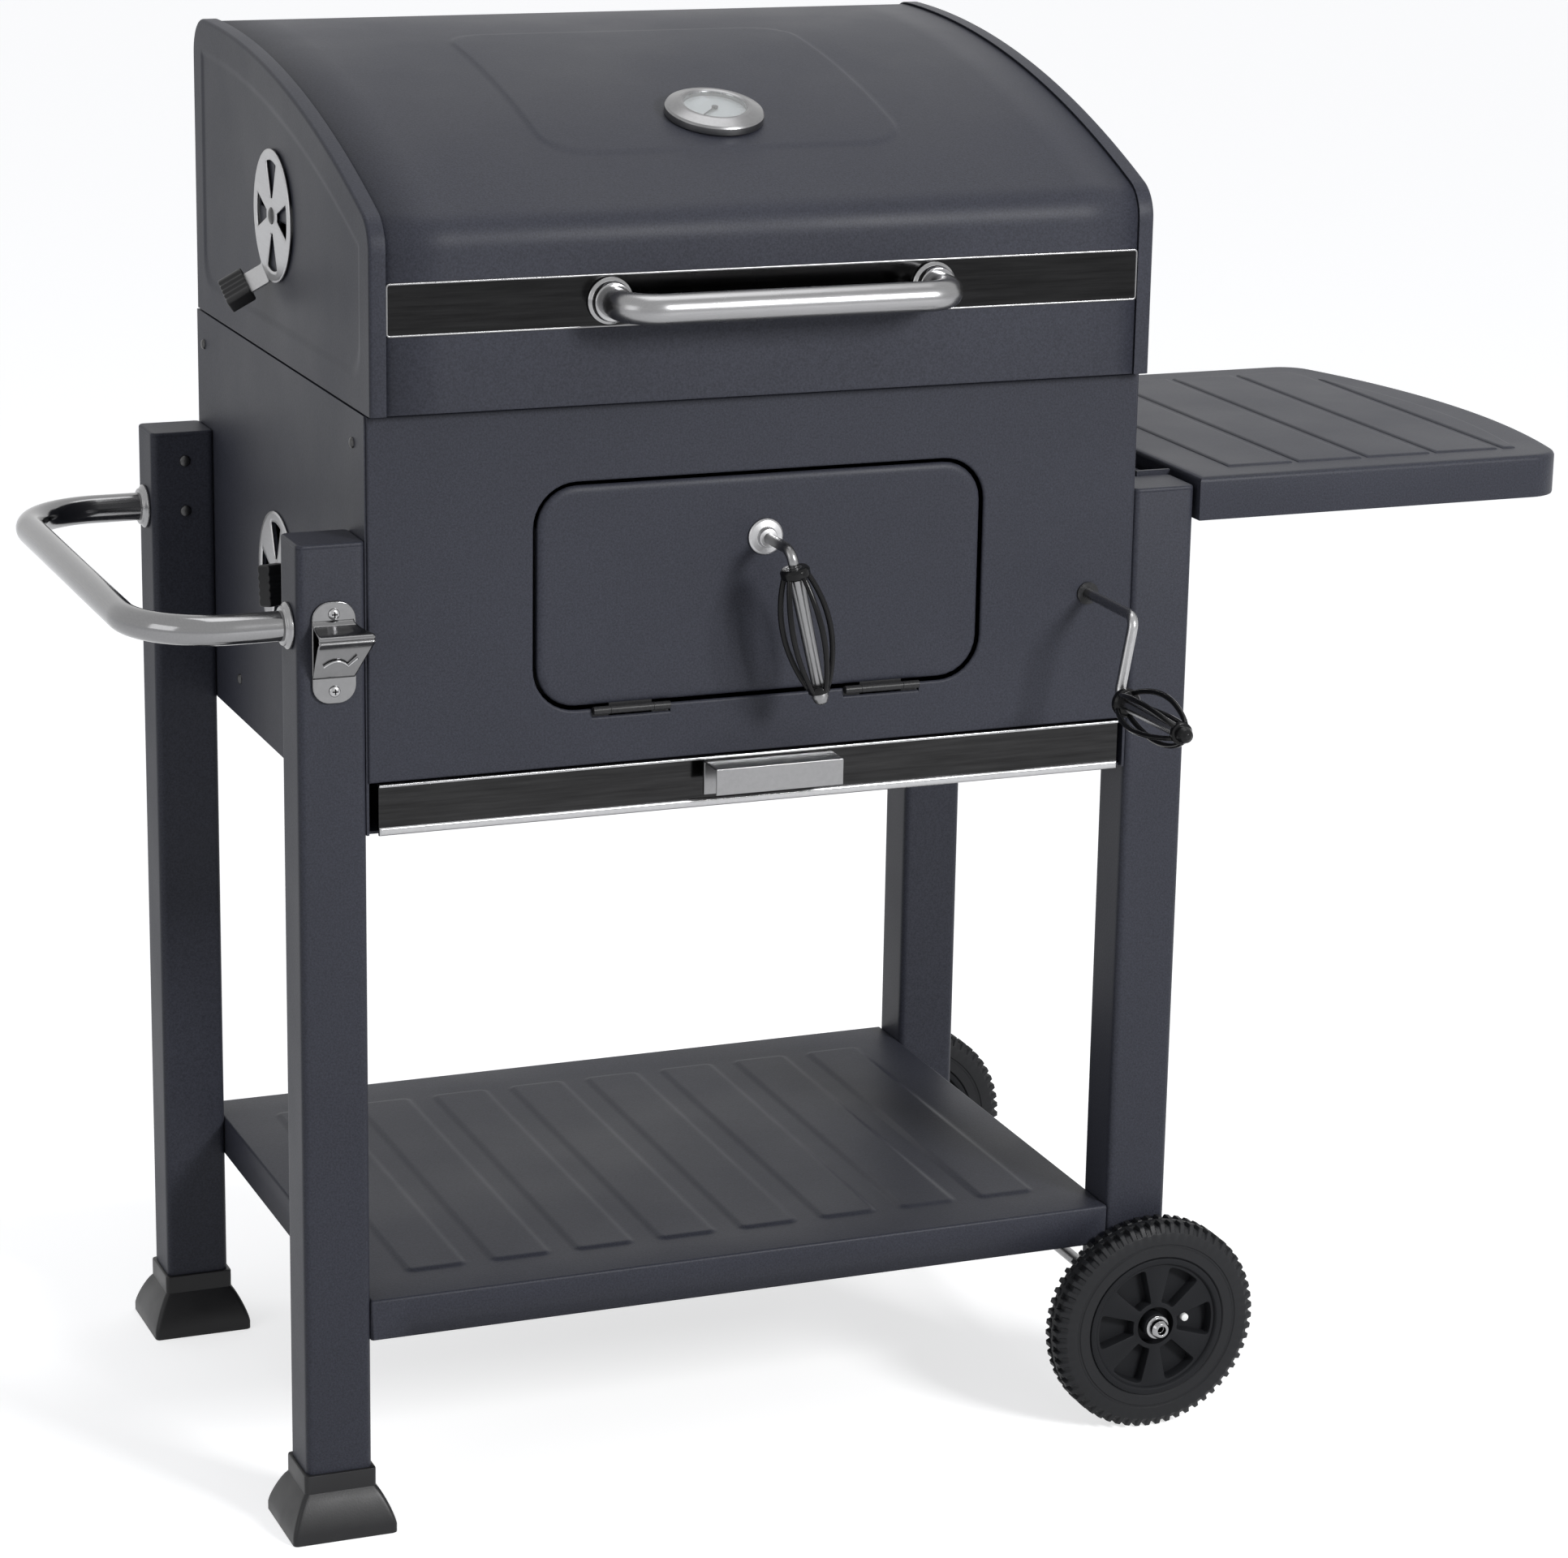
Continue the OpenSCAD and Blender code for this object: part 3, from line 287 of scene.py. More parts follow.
def piece(name, parts, look, body, replaces=(), slot=None, sharp=40, width=0.0):
    """Joins parts into one mesh object at the origin, with its normals outwards, and makes it ride on its body.
    A slot is worked out from its look unless one is given, but it is not kept anywhere. width above 0 rounds the sharp
    edges with a bevel."""
    verts, faces, start = [], [], 0
    for points, quads in parts:
        verts.append(points)
        faces += [tuple(i + start for i in f) for f in quads]
        start += len(points)
    mesh = bpy.data.meshes.new(name)
    mesh.from_pydata(np.concatenate(verts), [], faces)
    bm = bmesh.new()
    bm.from_mesh(mesh)
    bmesh.ops.remove_doubles(bm, verts=bm.verts, dist=SAME_PLACE)
    bmesh.ops.dissolve_degenerate(bm, edges=bm.edges, dist=NO_AREA)
    bmesh.ops.recalc_face_normals(bm, faces=bm.faces)
    bm.to_mesh(mesh)
    bm.free()
    mesh.shade_smooth()
    mesh.set_sharp_from_angle(angle=math.radians(sharp))
    mesh.materials.append(finish(look))
    obj = bpy.data.objects.new(name, mesh)
    bpy.context.scene.collection.objects.link(obj)
    if width:
        bevel = obj.modifiers.new("Edges", "BEVEL")
        bevel.width, bevel.segments, bevel.limit_method = width, 3, "ANGLE"
        bevel.angle_limit = math.radians(sharp)
        bevel.harden_normals = True
    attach(obj, body)
    if replaces:
        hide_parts(*replaces)
    slot = slot or SLOTS.get(look, STEEL_SLOT)
    return obj


def sheet_piece(name, part, body, thickness, replaces=(), look="paint", offset=-1.0, sharp=50):
    """A piece from an open sheet, with its thickness on the inner side, or with offset 0 half on each side."""
    obj = piece(name, [part], look, body, replaces, sharp=sharp)
    mod = obj.modifiers.new("Sheet", "SOLIDIFY")
    mod.thickness, mod.offset, mod.use_rim = thickness, offset, True


def dress(look, *nodes):
    """Gives frame nodes a finish; their shape is already right."""
    for node in nodes:
        obj = frame["nodes"][node]
        obj.data.materials.clear()
        obj.data.materials.append(finish(look))


# ---------------------------------------------------------------- sizes and colours a user may change


class GrillSizes(bpy.types.PropertyGroup):
    """Sizes of the finish that the frame doesn't hold."""

    fold: bpy.props.FloatProperty(
        name="Fold radius", description="Outer radius of folded sheet edges", default=2.2 * MM, unit="LENGTH")
    leg_edge: bpy.props.FloatProperty(
        name="Leg edge", description="Radius of the legs' long edges", default=5 * MM, unit="LENGTH")
    pillow: bpy.props.FloatProperty(
        name="Door edge", description="Width of the fire door's soft edge", default=6 * MM, unit="LENGTH")
    slope: bpy.props.FloatProperty(
        name="Pressing slope", description="Width of a raised field's sloping side", default=5 * MM, unit="LENGTH")
    lid_curve: bpy.props.FloatProperty(
        name="Lid curve", description="Radius of the lid's long top curve", default=1090 * MM, unit="LENGTH")
    lid_edge: bpy.props.FloatProperty(
        name="Lid edge", description="Radius of the lid's front and back edges", default=27 * MM, unit="LENGTH")
    wire: bpy.props.FloatProperty(
        name="Cage wire", description="Radius of a cage wire", default=2.1 * MM, unit="LENGTH")


class GrillColours(bpy.types.PropertyGroup):
    """Colours of the finishes."""

    paint: bpy.props.FloatVectorProperty(
        name="Paint", description="Powder coat of the sheet parts", subtype="COLOR", default=(0.027, 0.0285, 0.038))
    steel: bpy.props.FloatVectorProperty(
        name="Steel", description="Polished steel", subtype="COLOR", default=(0.31, 0.31, 0.315))
    black: bpy.props.FloatVectorProperty(
        name="Black", description="Black plastic", subtype="COLOR", default=(0.012, 0.012, 0.013))
    tyre: bpy.props.FloatVectorProperty(
        name="Tyre", description="Tyre and wheel plastic", subtype="COLOR", default=(0.011, 0.0115, 0.013))
    enamel: bpy.props.FloatVectorProperty(
        name="Enamel", description="Black enamel of the inner parts", subtype="COLOR", default=(0.022, 0.022, 0.023))
    dial: bpy.props.FloatVectorProperty(
        name="Dial", description="Thermometer dial", subtype="COLOR", default=(0.46, 0.48, 0.5))


class GrillStage(bpy.types.PropertyGroup):
    """Camera and light."""

    lens: bpy.props.FloatProperty(
        name="Lens", description="Focal length on a 36 mm sensor", default=103.68, unit="CAMERA")
    turn: bpy.props.FloatProperty(
        name="Turn", description="Camera's turn from straight ahead, to the right", default=math.radians(21.951),
        subtype="ANGLE")
    tilt: bpy.props.FloatProperty(
        name="Tilt", description="Camera's tilt below the horizon", default=math.radians(15.685), subtype="ANGLE")
    roll: bpy.props.FloatProperty(
        name="Roll", description="Camera's roll, clockwise", default=math.radians(1.0325), subtype="ANGLE")
    eye: bpy.props.FloatVectorProperty(
        name="Eye", description="Camera's place", default=(-1.29274, -3.13296, 1.45572), subtype="TRANSLATION")
    key: bpy.props.FloatProperty(
        name="Key light", description="Power of the main lamp, in watts", default=142.0)
    lift: bpy.props.FloatProperty(
        name="Floor lift", description="How much whiter the camera sees the floor", default=0.66)
    fill: bpy.props.FloatProperty(
        name="Room light", description="Strength of the pale surroundings", default=0.48)


# ---------------------------------------------------------------- finishes


class Look:
    """A new material with its Principled BSDF, and short ways to add, link and set nodes."""

    def __init__(self, name):
        self.material = bpy.data.materials.new(name)
        self.material.use_nodes = True
        self.tree = self.material.node_tree
        self.bsdf = self.tree.nodes["Principled BSDF"]

    def add(self, kind, **values):
        """A new node with values for its sockets and settings."""
        node = self.tree.nodes.new(kind)
        for key, value in values.items():
            if key in node.inputs:
                node.inputs[key].default_value = value
            else:
                setattr(node, key, value)
        return node

    def link(self, a, out, b, into):
        """Links an output of node a to an input of node b."""
        self.tree.links.new(a.outputs[out], b.inputs[into])

    def give(self, **values):
        """Sets sockets of the BSDF; an underscore stands for a space."""
        for key, value in values.items():
            self.bsdf.inputs[key.replace("_", " ")].default_value = value

    def texture(self, kind, source=None, **values):
        """A node over the object's coordinates, or over those that a source node gives."""
        node = self.add(kind, **values)
        place = source or self.add("ShaderNodeTexCoord")
        self.link(place, "Vector" if source else "Object", node, "Vector")
        return node

    def tint(self, *blend):
        """Colours the BSDF with a blend."""
        self.link(self.blend(*blend), MIX_RESULT, self.bsdf, "Base Color")

    def blend(self, source, out, dark, light):
        """A colour between dark and light by the source's output."""
        mix = self.add("ShaderNodeMix", data_type="RGBA")
        mix.inputs[MIX_FIRST].default_value, mix.inputs[MIX_SECOND].default_value = dark, light
        self.link(source, out, mix, MIX_FACTOR)
        return mix

    def gloss(self, source, low, high, start=0.3, stop=0.7):
        """Roughness from low to high while the source's factor goes from start to stop."""
        ramp = self.add(
            "ShaderNodeMapRange", **{"From Min": start, "From Max": stop, "To Min": low, "To Max": high})
        self.link(source, "Fac", ramp, "Value")
        self.link(ramp, "Result", self.bsdf, "Roughness")

    def bump(self, source, out, strength, distance):
        """A fine relief from the source's output."""
        rise = self.add("ShaderNodeBump", Strength=strength, Distance=distance)
        self.link(source, out, rise, "Height")
        self.link(rise, "Normal", self.bsdf, "Normal")


def shade(colour, factor):
    """A colour made lighter or darker, with alpha 1."""
    return tuple(min(1.0, c * factor) for c in colour) + (1.0,)


def powder_coat(name, colour, roughness, grain=0.0014, bump=0.2):
    """Fine-textured paint: a fine noise gives grain in bump and colour, a broad one slow changes of both and gloss."""
    look = Look(name)
    fine = look.texture("ShaderNodeTexNoise", Scale=1 / grain, Detail=3.0, Roughness=0.6)
    broad = look.texture("ShaderNodeTexNoise", Scale=5.5, Detail=4.0, Roughness=0.55)
    spread, speckle = 0.16, 0.7
    tint = look.blend(broad, "Fac", shade(colour, 1 - spread), shade(colour, 1 + spread))
    speck = look.add("ShaderNodeMix", data_type="RGBA", blend_type="OVERLAY")
    speck.inputs[MIX_FACTOR].default_value = speckle
    look.link(tint, MIX_RESULT, speck, MIX_FIRST)
    look.link(fine, "Fac", speck, MIX_SECOND)
    look.link(speck, MIX_RESULT, look.bsdf, "Base Color")
    look.gloss(broad, roughness - 0.05, roughness + 0.06)
    look.bump(fine, "Fac", bump, 0.0004)
    look.give(Specular_IOR_Level=0.17)
    return look.material


def metal(name, colour, roughness, grain=(900.0, 900.0, 60.0), scratch=0.05, darkest=0.86, lightest=1.1):
    """Polished or satin steel: stretched noise along the grain gives fine scratches, a broad one dulls it in places."""
    look = Look(name)
    stretch = look.texture("ShaderNodeMapping", Scale=grain)
    lines = look.texture("ShaderNodeTexNoise", stretch, Scale=1.0, Detail=4.0, Roughness=0.65)
    patch = look.texture("ShaderNodeTexNoise", Scale=22.0, Detail=3.0)
    look.tint(lines, "Fac", shade(colour, darkest), shade(colour, lightest))
    look.gloss(patch, roughness, roughness + 0.06, stop=0.75)
    look.bump(lines, "Fac", scratch, 0.0002)
    look.give(Metallic=1.0)
    return look.material


def plastic(name, colour, roughness, grain=0.0012, bump=0.08, shine=0.5):
    """Moulded plastic: a fine leather-like grain in bump and a slow change in gloss."""
    look = Look(name)
    cells = look.texture("ShaderNodeTexVoronoi", Scale=1 / grain, feature="SMOOTH_F1")
    slow = look.texture("ShaderNodeTexNoise", Scale=30.0, Detail=3.0)
    look.tint(slow, "Fac", shade(colour, 0.8), shade(colour, 1.25))
    look.gloss(slow, roughness - 0.05, roughness + 0.08)
    look.bump(cells, "Distance", bump, 0.0003)
    look.give(Specular_IOR_Level=shine)
    return look.material


def dial_face(name, colour, roughness):
    """Satin dial: faint turned rings from the distance to the dial's middle."""
    look, fineness = Look(name), 9000.0
    shift = look.texture("ShaderNodeMapping", vector_type="POINT", Location=-mid("thermometer_dial"))
    far = look.add("ShaderNodeVectorMath", operation="LENGTH")
    many = look.add("ShaderNodeMath", operation="MULTIPLY")
    many.inputs[1].default_value = fineness
    rings = look.add("ShaderNodeMath", operation="SINE")
    look.link(shift, "Vector", far, 0)
    look.link(far, "Value", many, 0)
    look.link(many, "Value", rings, 0)
    look.tint(rings, "Value", shade(colour, 0.94), shade(colour, 1.04))
    look.give(Metallic=0.4, Roughness=roughness)
    return look.material


def clear_glass(name, colour, roughness):
    """Flat glass of the thermometer, with a faint uneven gloss."""
    look = Look(name)
    look.gloss(look.texture("ShaderNodeTexNoise", Scale=40.0), roughness, roughness + 0.04, 0.0, 1.0)
    look.give(Base_Color=shade(colour, 1), Transmission_Weight=1.0, IOR=1.45)
    return look.material


EVEN_GRAIN = (300.0, 300.0, 300.0)
# A finish is its maker, its name, a colour or the setting that holds it, a share of that colour, a roughness and
# what else its maker is told.
FINISHES = {
    "paint": (powder_coat, "Anthracite_powder_coat", "paint", 1, 0.46, {}),
    # The same paint at 0.8 of its colour for the drawer that sits inside the body: painted shade.
    "paint_shaded_copy": (powder_coat, "Anthracite_powder_coat_inside", "paint", 0.8, 0.55, {}),
    "enamel": (powder_coat, "Black_enamel", "enamel", 1, 0.34, dict(grain=0.0016, bump=0.06)),
    "cast": (powder_coat, "Enamelled_cast_iron", "enamel", 1, 0.5, dict(grain=0.0022, bump=0.35)),
    "chrome": (metal, "Polished_steel", "steel", 1, 0.1, {}),
    "satin": (metal, "Satin_steel", "steel", 0.9, 0.24, dict(grain=(60.0, 900.0, 900.0), scratch=0.1)),
    "tube": (metal, "Satin_steel_tube", "steel", 0.75, 0.12, dict(grain=(900.0, 60.0, 900.0), scratch=0.08)),
    # The strip's polished steel is cut to 0.06 of its colour and streaked from 0.4 to 2 times that: painted dark
    # reflection with painted reflection streaks, not a dark steel.
    "mirror_painted_dark": (metal, "Dark_polished_strip", "steel", 0.06, 0.09,
               dict(grain=(14.0, 400.0, 300.0), scratch=0.05, darkest=0.4, lightest=2.0)),
    "bright": (metal, "Bright_steel", "steel", 1.2, 0.22, dict(grain=EVEN_GRAIN, scratch=0.03)),
    "nickel": (metal, "Dark_nickel", "steel", 0.62, 0.16, dict(grain=(200.0, 200.0, 200.0), scratch=0.03)),
    "edge": (metal, "Dull_steel", "steel", 0.75, 0.28, dict(grain=EVEN_GRAIN, scratch=0.03)),
    "plate": (metal, "Brushed_steel_plate", "steel", 1.4, 0.34, dict(grain=(700.0, 40.0, 700.0), scratch=0.06)),
    "zinc_dark": (metal, "Blackened_steel", "steel", 0.22, 0.35, dict(grain=EVEN_GRAIN)),
    "zinc": (metal, "Zinc_plated_steel", "steel", 0.85, 0.3, dict(grain=EVEN_GRAIN)),
    "black": (plastic, "Black_plastic", "black", 1, 0.36, dict(shine=0.28)),
    "wire": (plastic, "Black_glossy_enamel", "black", 0.5, 0.16, dict(grain=0.004, bump=0.02, shine=0.16)),
    "wheel": (plastic, "Wheel_plastic", "tyre", 1, 0.5, dict(shine=0.1)),
    "tyre": (plastic, "Tyre_plastic", "tyre", 0.9, 0.5, dict(grain=0.0016, bump=0.14, shine=0.2)),
    "white": (plastic, "White_plastic", (0.7, 0.7, 0.69), 1, 0.4, {}),
    "dial": (dial_face, "Dial_metal", "dial", 1, 0.38, {}),
    "glass": (clear_glass, "Clear_glass", (0.95, 0.97, 0.97), 1, 0.01, {}),
}
MADE = {}


def finish(name):
    """The finish of that name, made on first use from the colours in the scene's settings."""
    if name not in MADE:
        maker, label, colour, share, roughness, more = FINISHES[name]
        if isinstance(colour, str):
            colour = getattr(bpy.context.scene.grill_colours, colour)
        MADE[name] = maker(label, shade(colour, share)[:3], roughness, **more)
    return MADE[name]


# ---------------------------------------------------------------- shapes shared by several pieces


def box_outline(low, high, radius):
    """outline(inset) of a rectangle with round corners, for slab. Its corners tighten as it is pulled in."""
    low, high = np.array(low[:2]), np.array(high[:2])
    return lambda inset: round_rect(low + inset, high - inset, max(radius - inset, 0.3 * MM))


def front_plate(low, high, corner, back, thickness, radius, *edge):
    """A plate that faces the front, between low and high in X and Z, with round corners and its back at Y = back."""
    return slab(box_outline(low, high, corner), thickness, radius, FRONT, (0, back, 0), *edge)


def quarter_round(radius, steps):
    """(inset, depth) pairs of an edge that rolls over by a quarter turn: r (1 - cos a) and r (1 - sin a)."""
    return [(radius * (1 - np.cos(a)), radius * (1 - np.sin(a))) for a in np.linspace(0, np.pi / 2, steps)]


def feature_lines(start, stop, coarse, edges, reach, fine):
    """Grid lines from start to stop: evenly coarse ones, with fine ones within reach of each edge."""
    marks = [np.linspace(start, stop, coarse)]
    marks += [np.linspace(e - reach, e + reach, fine * 2 + 1) for e in edges]
    lines = np.unique(np.round(np.concatenate(marks), 6))
    return lines[(lines >= start - TINY) & (lines <= stop + TINY)]


def raised(x, y, low, high, corner, slope):
    """1 on a rounded rectangle and 0 outside it, with a soft side: a smooth step of the distance to its outline,
    which is the length of the part of |p - centre| beyond the inner rectangle, less the corner radius."""
    c = [(a + b) / 2 for a, b in zip(low, high)]
    qx = np.abs(x - c[0]) - (high[0] - low[0]) / 2 + corner
    qy = np.abs(y - c[1]) - (high[1] - low[1]) / 2 + corner
    d = np.hypot(np.maximum(qx, 0), np.maximum(qy, 0)) + np.minimum(np.maximum(qx, qy), 0) - corner
    return smooth_step(-d, 0, slope)


def folded_sheet(low, high, r, xs, ys, height):
    """A sheet folded down on four sides. Beyond the flat, the larger of the two overruns e runs round the fold and
    down the skirt: out = r sin(e / r) and down = r (1 - cos(e / r)) until a quarter turn, then straight down."""
    turn = r * np.pi / 2
    over = np.concatenate([np.linspace(0, turn, 6)[1:], [turn + high[2] - low[2] - r]])

    def extend(lines, a, b):
        """Grid lines of the flat and, on both sides, those of the fold and the skirt."""
        inner = lines[(lines > a + r) & (lines < b - r)]
        return np.concatenate([a + r - over[::-1], [a + r], inner, [b - r], b - r + over])

    x, y = np.meshgrid(extend(xs, low[0], high[0]), extend(ys, low[1], high[1]), indexing="ij")
    cx, cy = np.clip(x, low[0] + r, high[0] - r), np.clip(y, low[1] + r, high[1] - r)
    dx, dy = x - cx, y - cy
    e, far = np.maximum(np.abs(dx), np.abs(dy)), np.maximum(np.hypot(dx, dy), TINY)
    out = np.where(e < turn, r * np.sin(e / r), r)
    down = np.where(e < turn, r * (1 - np.cos(e / r)), r + e - turn)
    z = high[2] - down + height(cx, cy) * (e < TINY)
    points = np.stack([cx + dx / far * out, cy + dy / far * out, z], 2)
    return skin(points, closed=False, caps=False)


def lid_path(inset, top_count=40, corner=0.0):
    """The lid's outline in the Y-Z plane, from its front bottom edge up, over and down to the back edge: a straight
    front, a quarter round, the long top arc, a quarter round and a straight back. Both rounds touch the arc, so
    their centres lie one edge radius inside it. corner rounds the two bottom corners."""
    sizes = bpy.context.scene.grill_sizes
    (_, front, bottom), (_, back, top) = ends("lid_shell")
    big, edge = sizes.lid_curve, sizes.lid_edge
    centre = np.array([back - edge, top - big])
    tightest, lift, bottom_points = 1.5 * MM, 1.2 * MM, 6
    e = max(edge - inset, tightest)
    reach = inset + e
    rounds = [np.array([y, centre[1] + math.sqrt((big - reach) ** 2 - (y - centre[0]) ** 2)])
              for y in (front + reach, back - reach)]
    lean, drop = (math.degrees(math.atan2(*(p - centre)[::-1])) for p in rounds)
    c, hold = max(corner, 0.1 * MM), 2 * MM
    y0, y1, base = front + inset, back - inset, bottom + lift + max(inset, 0.0) + c
    return np.concatenate([
        arc((y0 + c, base), c, 270, 180, bottom_points),
        [(y0, base + hold), (y0, rounds[0][1] - hold)],
        arc(rounds[0], e, 180, lean, 12),
        arc(centre, big - inset, lean, drop, top_count)[1:-1],
        arc(rounds[1], e, drop, 0, 12),
        [(y1, rounds[1][1] - hold), (y1, base + hold)],
        arc((y1 - c, base), c, 360, 270, bottom_points),
    ])


def vent_plate(centre, radius, turn=0.0):
    """A round sheet with four wedge-shaped windows: a grid of radius and angle whose cells inside a window are left
    out. A window's half angle at radius r is atan(0.414 (r - 6 mm) / r), so its sides meet 6 mm from the centre."""
    bore, meet, inner, outer, steps = 3 * MM, 6 * MM, 13 * MM, 41 * MM, 10
    spans = [np.linspace(bore, inner, 4), np.linspace(inner, outer, 9), np.linspace(outer, radius, 4)]
    radii = np.unique(np.concatenate(spans))
    half = np.arctan(0.414 * np.maximum(radii - meet, 0.2 * MM) / radii)[:, None]
    t = np.arange(2 * steps) / steps
    local = np.where(t <= 1, (2 * t - 1) * half, half + (t - 1) * (np.pi / 2 - 2 * half))
    a = np.concatenate([local + k * np.pi / 2 for k in range(4)], axis=1) + math.radians(turn)
    flat = (radii[:, None] * np.cos(a))[..., None] * Y + (radii[:, None] * np.sin(a))[..., None] * Z
    between = (radii[:-1] > inner - TINY) & (radii[:-1] < outer - TINY)
    keep = ~(between[:, None] & (np.arange(8 * steps) % (2 * steps) < steps)[None, :])
    return skin(centre + flat, caps=False, keep=keep)


def round_rod(points, bend, radius):
    """A round bar along straight runs with rounded corners and slightly eased ends."""
    eased = 0.6 * MM
    path = rounded_path(points, bend, 10)
    first, last = path[0] + eased * unit(path[1] - path[0]), path[-1] + eased * unit(path[-2] - path[-1])
    path = np.concatenate([path[:1], [first], path[1:-1], [last], path[-1:]])
    size = np.full(len(path), radius)
    size[[0, -1]] -= eased
    return tube(path, size, 24)


# ---------------------------------------------------------------- pieces


class GRILL_OT_legs(bpy.types.Operator):
    """Adds the four legs and their caps: tubes with rounded edges under slightly crowned caps"""

    bl_idname = "grill.legs"
    bl_label = "Legs"

    def execute(self, context):
        top, caps = hi("leg_caps")[2], []
        for side in ("front_left", "back_left", "front_right", "back_right"):
            a, b = ends(f"leg_{side}")
            outline = box_outline(a, b, context.scene.grill_sizes.leg_edge)
            leg = slab(outline, b[2] - a[2], 0.2 * MM, UP, (0, 0, a[2]))
            piece(f"Leg_{side}", [leg], "paint", "cart", (f"leg_{side}",))
            caps.append(slab(outline, top - b[2], 1.8 * MM, UP, (0, 0, b[2]), 4, 0.3 * MM))
        piece("Leg_caps", caps, "paint", "cart", ("leg_caps",))
        return {"FINISHED"}


class GRILL_OT_feet(bpy.types.Operator):
    """Adds the two flared plastic shoes: the leg's outline grown by a profile that sweeps out to a plain lip"""

    bl_idname = "grill.feet"
    bl_label = "Feet"

    def execute(self, context):
        top = hi("feet")[2]
        lip, collar = lo("leg_front_left")[0] - lo("feet")[0], 2.5 * MM
        flare_from, flare_to, t = 7 * MM, 35 * MM, np.linspace(0, 1, 9)
        flare = collar + (lip - collar) * (1 - t**1.25) ** 0.85
        profile = [(0, lip - 1.2 * MM), (0, lip - 0.6 * MM), (0.6 * MM, lip)]
        profile += list(zip(flare_from + t * (flare_to - flare_from), flare))
        profile += [(35.4 * MM, collar), (top - 1.2 * MM, collar), (top - 0.4 * MM, collar - 0.3 * MM)]
        profile += [(top, collar - 1 * MM), (top, -0.5 * MM)]
        shoes = []
        for side in ("front_left", "back_left"):
            a, b = ends(f"leg_{side}")
            shoes.append(skin(rings_of([(round_rect(a[:2] - g, b[:2] + g, 3.2 * MM), z) for z, g in profile], UP)))
        piece("Feet", shoes, "black", "cart", ("feet",), sharp=35)
        return {"FINISHED"}


class GRILL_OT_bottom_shelf(bpy.types.Operator):
    """Adds the bottom shelf: a sheet folded down all round with eight long raised ribs"""

    bl_idname = "grill.bottom_shelf"
    bl_label = "Bottom shelf"

    def execute(self, context):
        sizes = context.scene.grill_sizes
        a, b = ends("bottom_shelf")
        rib, width, corner, border, margin, count = 1.5 * MM, 50 * MM, 8 * MM, 45 * MM, 32 * MM, 8
        b[2] -= rib
        pitch, middle = (b[0] - a[0] - 2 * margin) / count, (a[0] + b[0]) / 2
        starts = [middle + (i - (count - 1) / 2) * pitch - width / 2 for i in range(count)]
        y0, y1 = a[1] + border, b[1] - border
        xs = feature_lines(a[0], b[0], 14, starts + [s + width for s in starts], 8 * MM, 4)
        ys = feature_lines(a[1], b[1], 12, [y0, y1], 9 * MM, 5)

        def ribs(x, y):
            """Height of the ribs above the sheet."""
            return rib * sum(raised(x, y, (s, y0), (s + width, y1), corner, sizes.slope) for s in starts)

        sheet_piece("Bottom_shelf", folded_sheet(a, b, sizes.fold, xs, ys, ribs), "cart", 1.5 * MM, ("bottom_shelf",))
        return {"FINISHED"}


class GRILL_OT_firebox(bpy.types.Operator):
    """Adds the firebox's front with its rolled door opening, and finishes its other walls and inner parts"""

    bl_idname = "grill.firebox"
    bl_label = "Firebox"

    def execute(self, context):
        gap, roll, r = 3 * MM, 1.6 * MM, 33 * MM
        a, b = ends("front_panel")
        (x0, _, z0), (x1, _, z1) = lo("fire_door") - gap, hi("fire_door") + gap
        low, high = np.array([a[0] + 1.5 * MM, a[2]]), np.array([b[0] - 1.5 * MM, b[2] - 0.4 * MM])
        middle = (low + high) / 2

        def quarter(centre, start):
            """A corner's arc and its directions, one of which meets the panel's own corner."""
            corner = np.where(np.array(centre) > middle, high, low)
            lean = math.degrees(math.atan2(*(corner - centre)[::-1])) % 360
            angles = np.sort(np.append(np.linspace(start, start + 90, 10), lean if lean >= start else lean + 360))
            return np.array(centre) + r * rays(np.radians(angles)), rays(np.radians(angles))

        centres = (x1 - r, z0 + r), (x1 - r, z1 - r), (x0 + r, z1 - r), (x0 + r, z0 + r)
        arcs, ways = zip(*(quarter(centre, start) for centre, start in zip(centres, (270, 0, 90, 180))))
        half, dip = 30.5 * MM, z0 - (joint_at("door_hinge")[2] - 5 * MM)
        pins = ends("door_hinge_pins")
        half_pin = 29.5 * MM
        hinges = pins[0][0] + half_pin, pins[1][0] - half_pin
        notches = np.array([(x + s * half, z0 - d) for x in hinges for s, d in ((-1, 0), (-1, dip), (1, dip), (1, 0))])
        inner = np.concatenate([*arcs, notches])
        way = np.concatenate([*ways, np.tile([0.0, -1.0], (len(notches), 1))])
        with np.errstate(divide="ignore", invalid="ignore"):
            reach = np.where(np.abs(way) < TINY, np.inf, (np.where(way > 0, high, low) - inner) / way)
        outer = inner + way * np.min(reach, axis=1)[:, None]
        on_side = np.minimum(np.abs(outer - low), np.abs(outer - high)) < 1e-7
        inward = np.sign(middle - outer) * on_side
        rows = [
            (outer, b[1]),
            (outer, a[1] + 0.8 * MM),
            (outer + inward * 0.8 * MM, a[1]),
            (outer + inward * 1.6 * MM, a[1]),
            (inner + way * roll * 1.5, a[1]),
            (inner + way * roll, a[1]),
            (inner + way * roll * 0.3, a[1] + 0.5 * MM),
            (inner, a[1] + roll),
            (inner, b[1]),
        ]
        panel = skin(rings_of(rows, DEPTH), wrap_rows=True)
        piece("Front_panel", [panel], "paint", "cart", ("front_panel",), sharp=50)
        dress("paint", "back_panel", "side_panel_left", "side_panel_right", "shelf_rail", "drawer_runners")
        dress("enamel", "grate_ledges", "charcoal_tray", "lift_levers_left", "lift_levers_right")
        dress("cast", "cooking_grates")
        dress("zinc", "lid_hinge_brackets", "lid_hinge_leaves", "door_latch")
        dress("enamel", "door_hinge_pins", "door_hinge_knuckles", "lift_bearings")
        return {"FINISHED"}


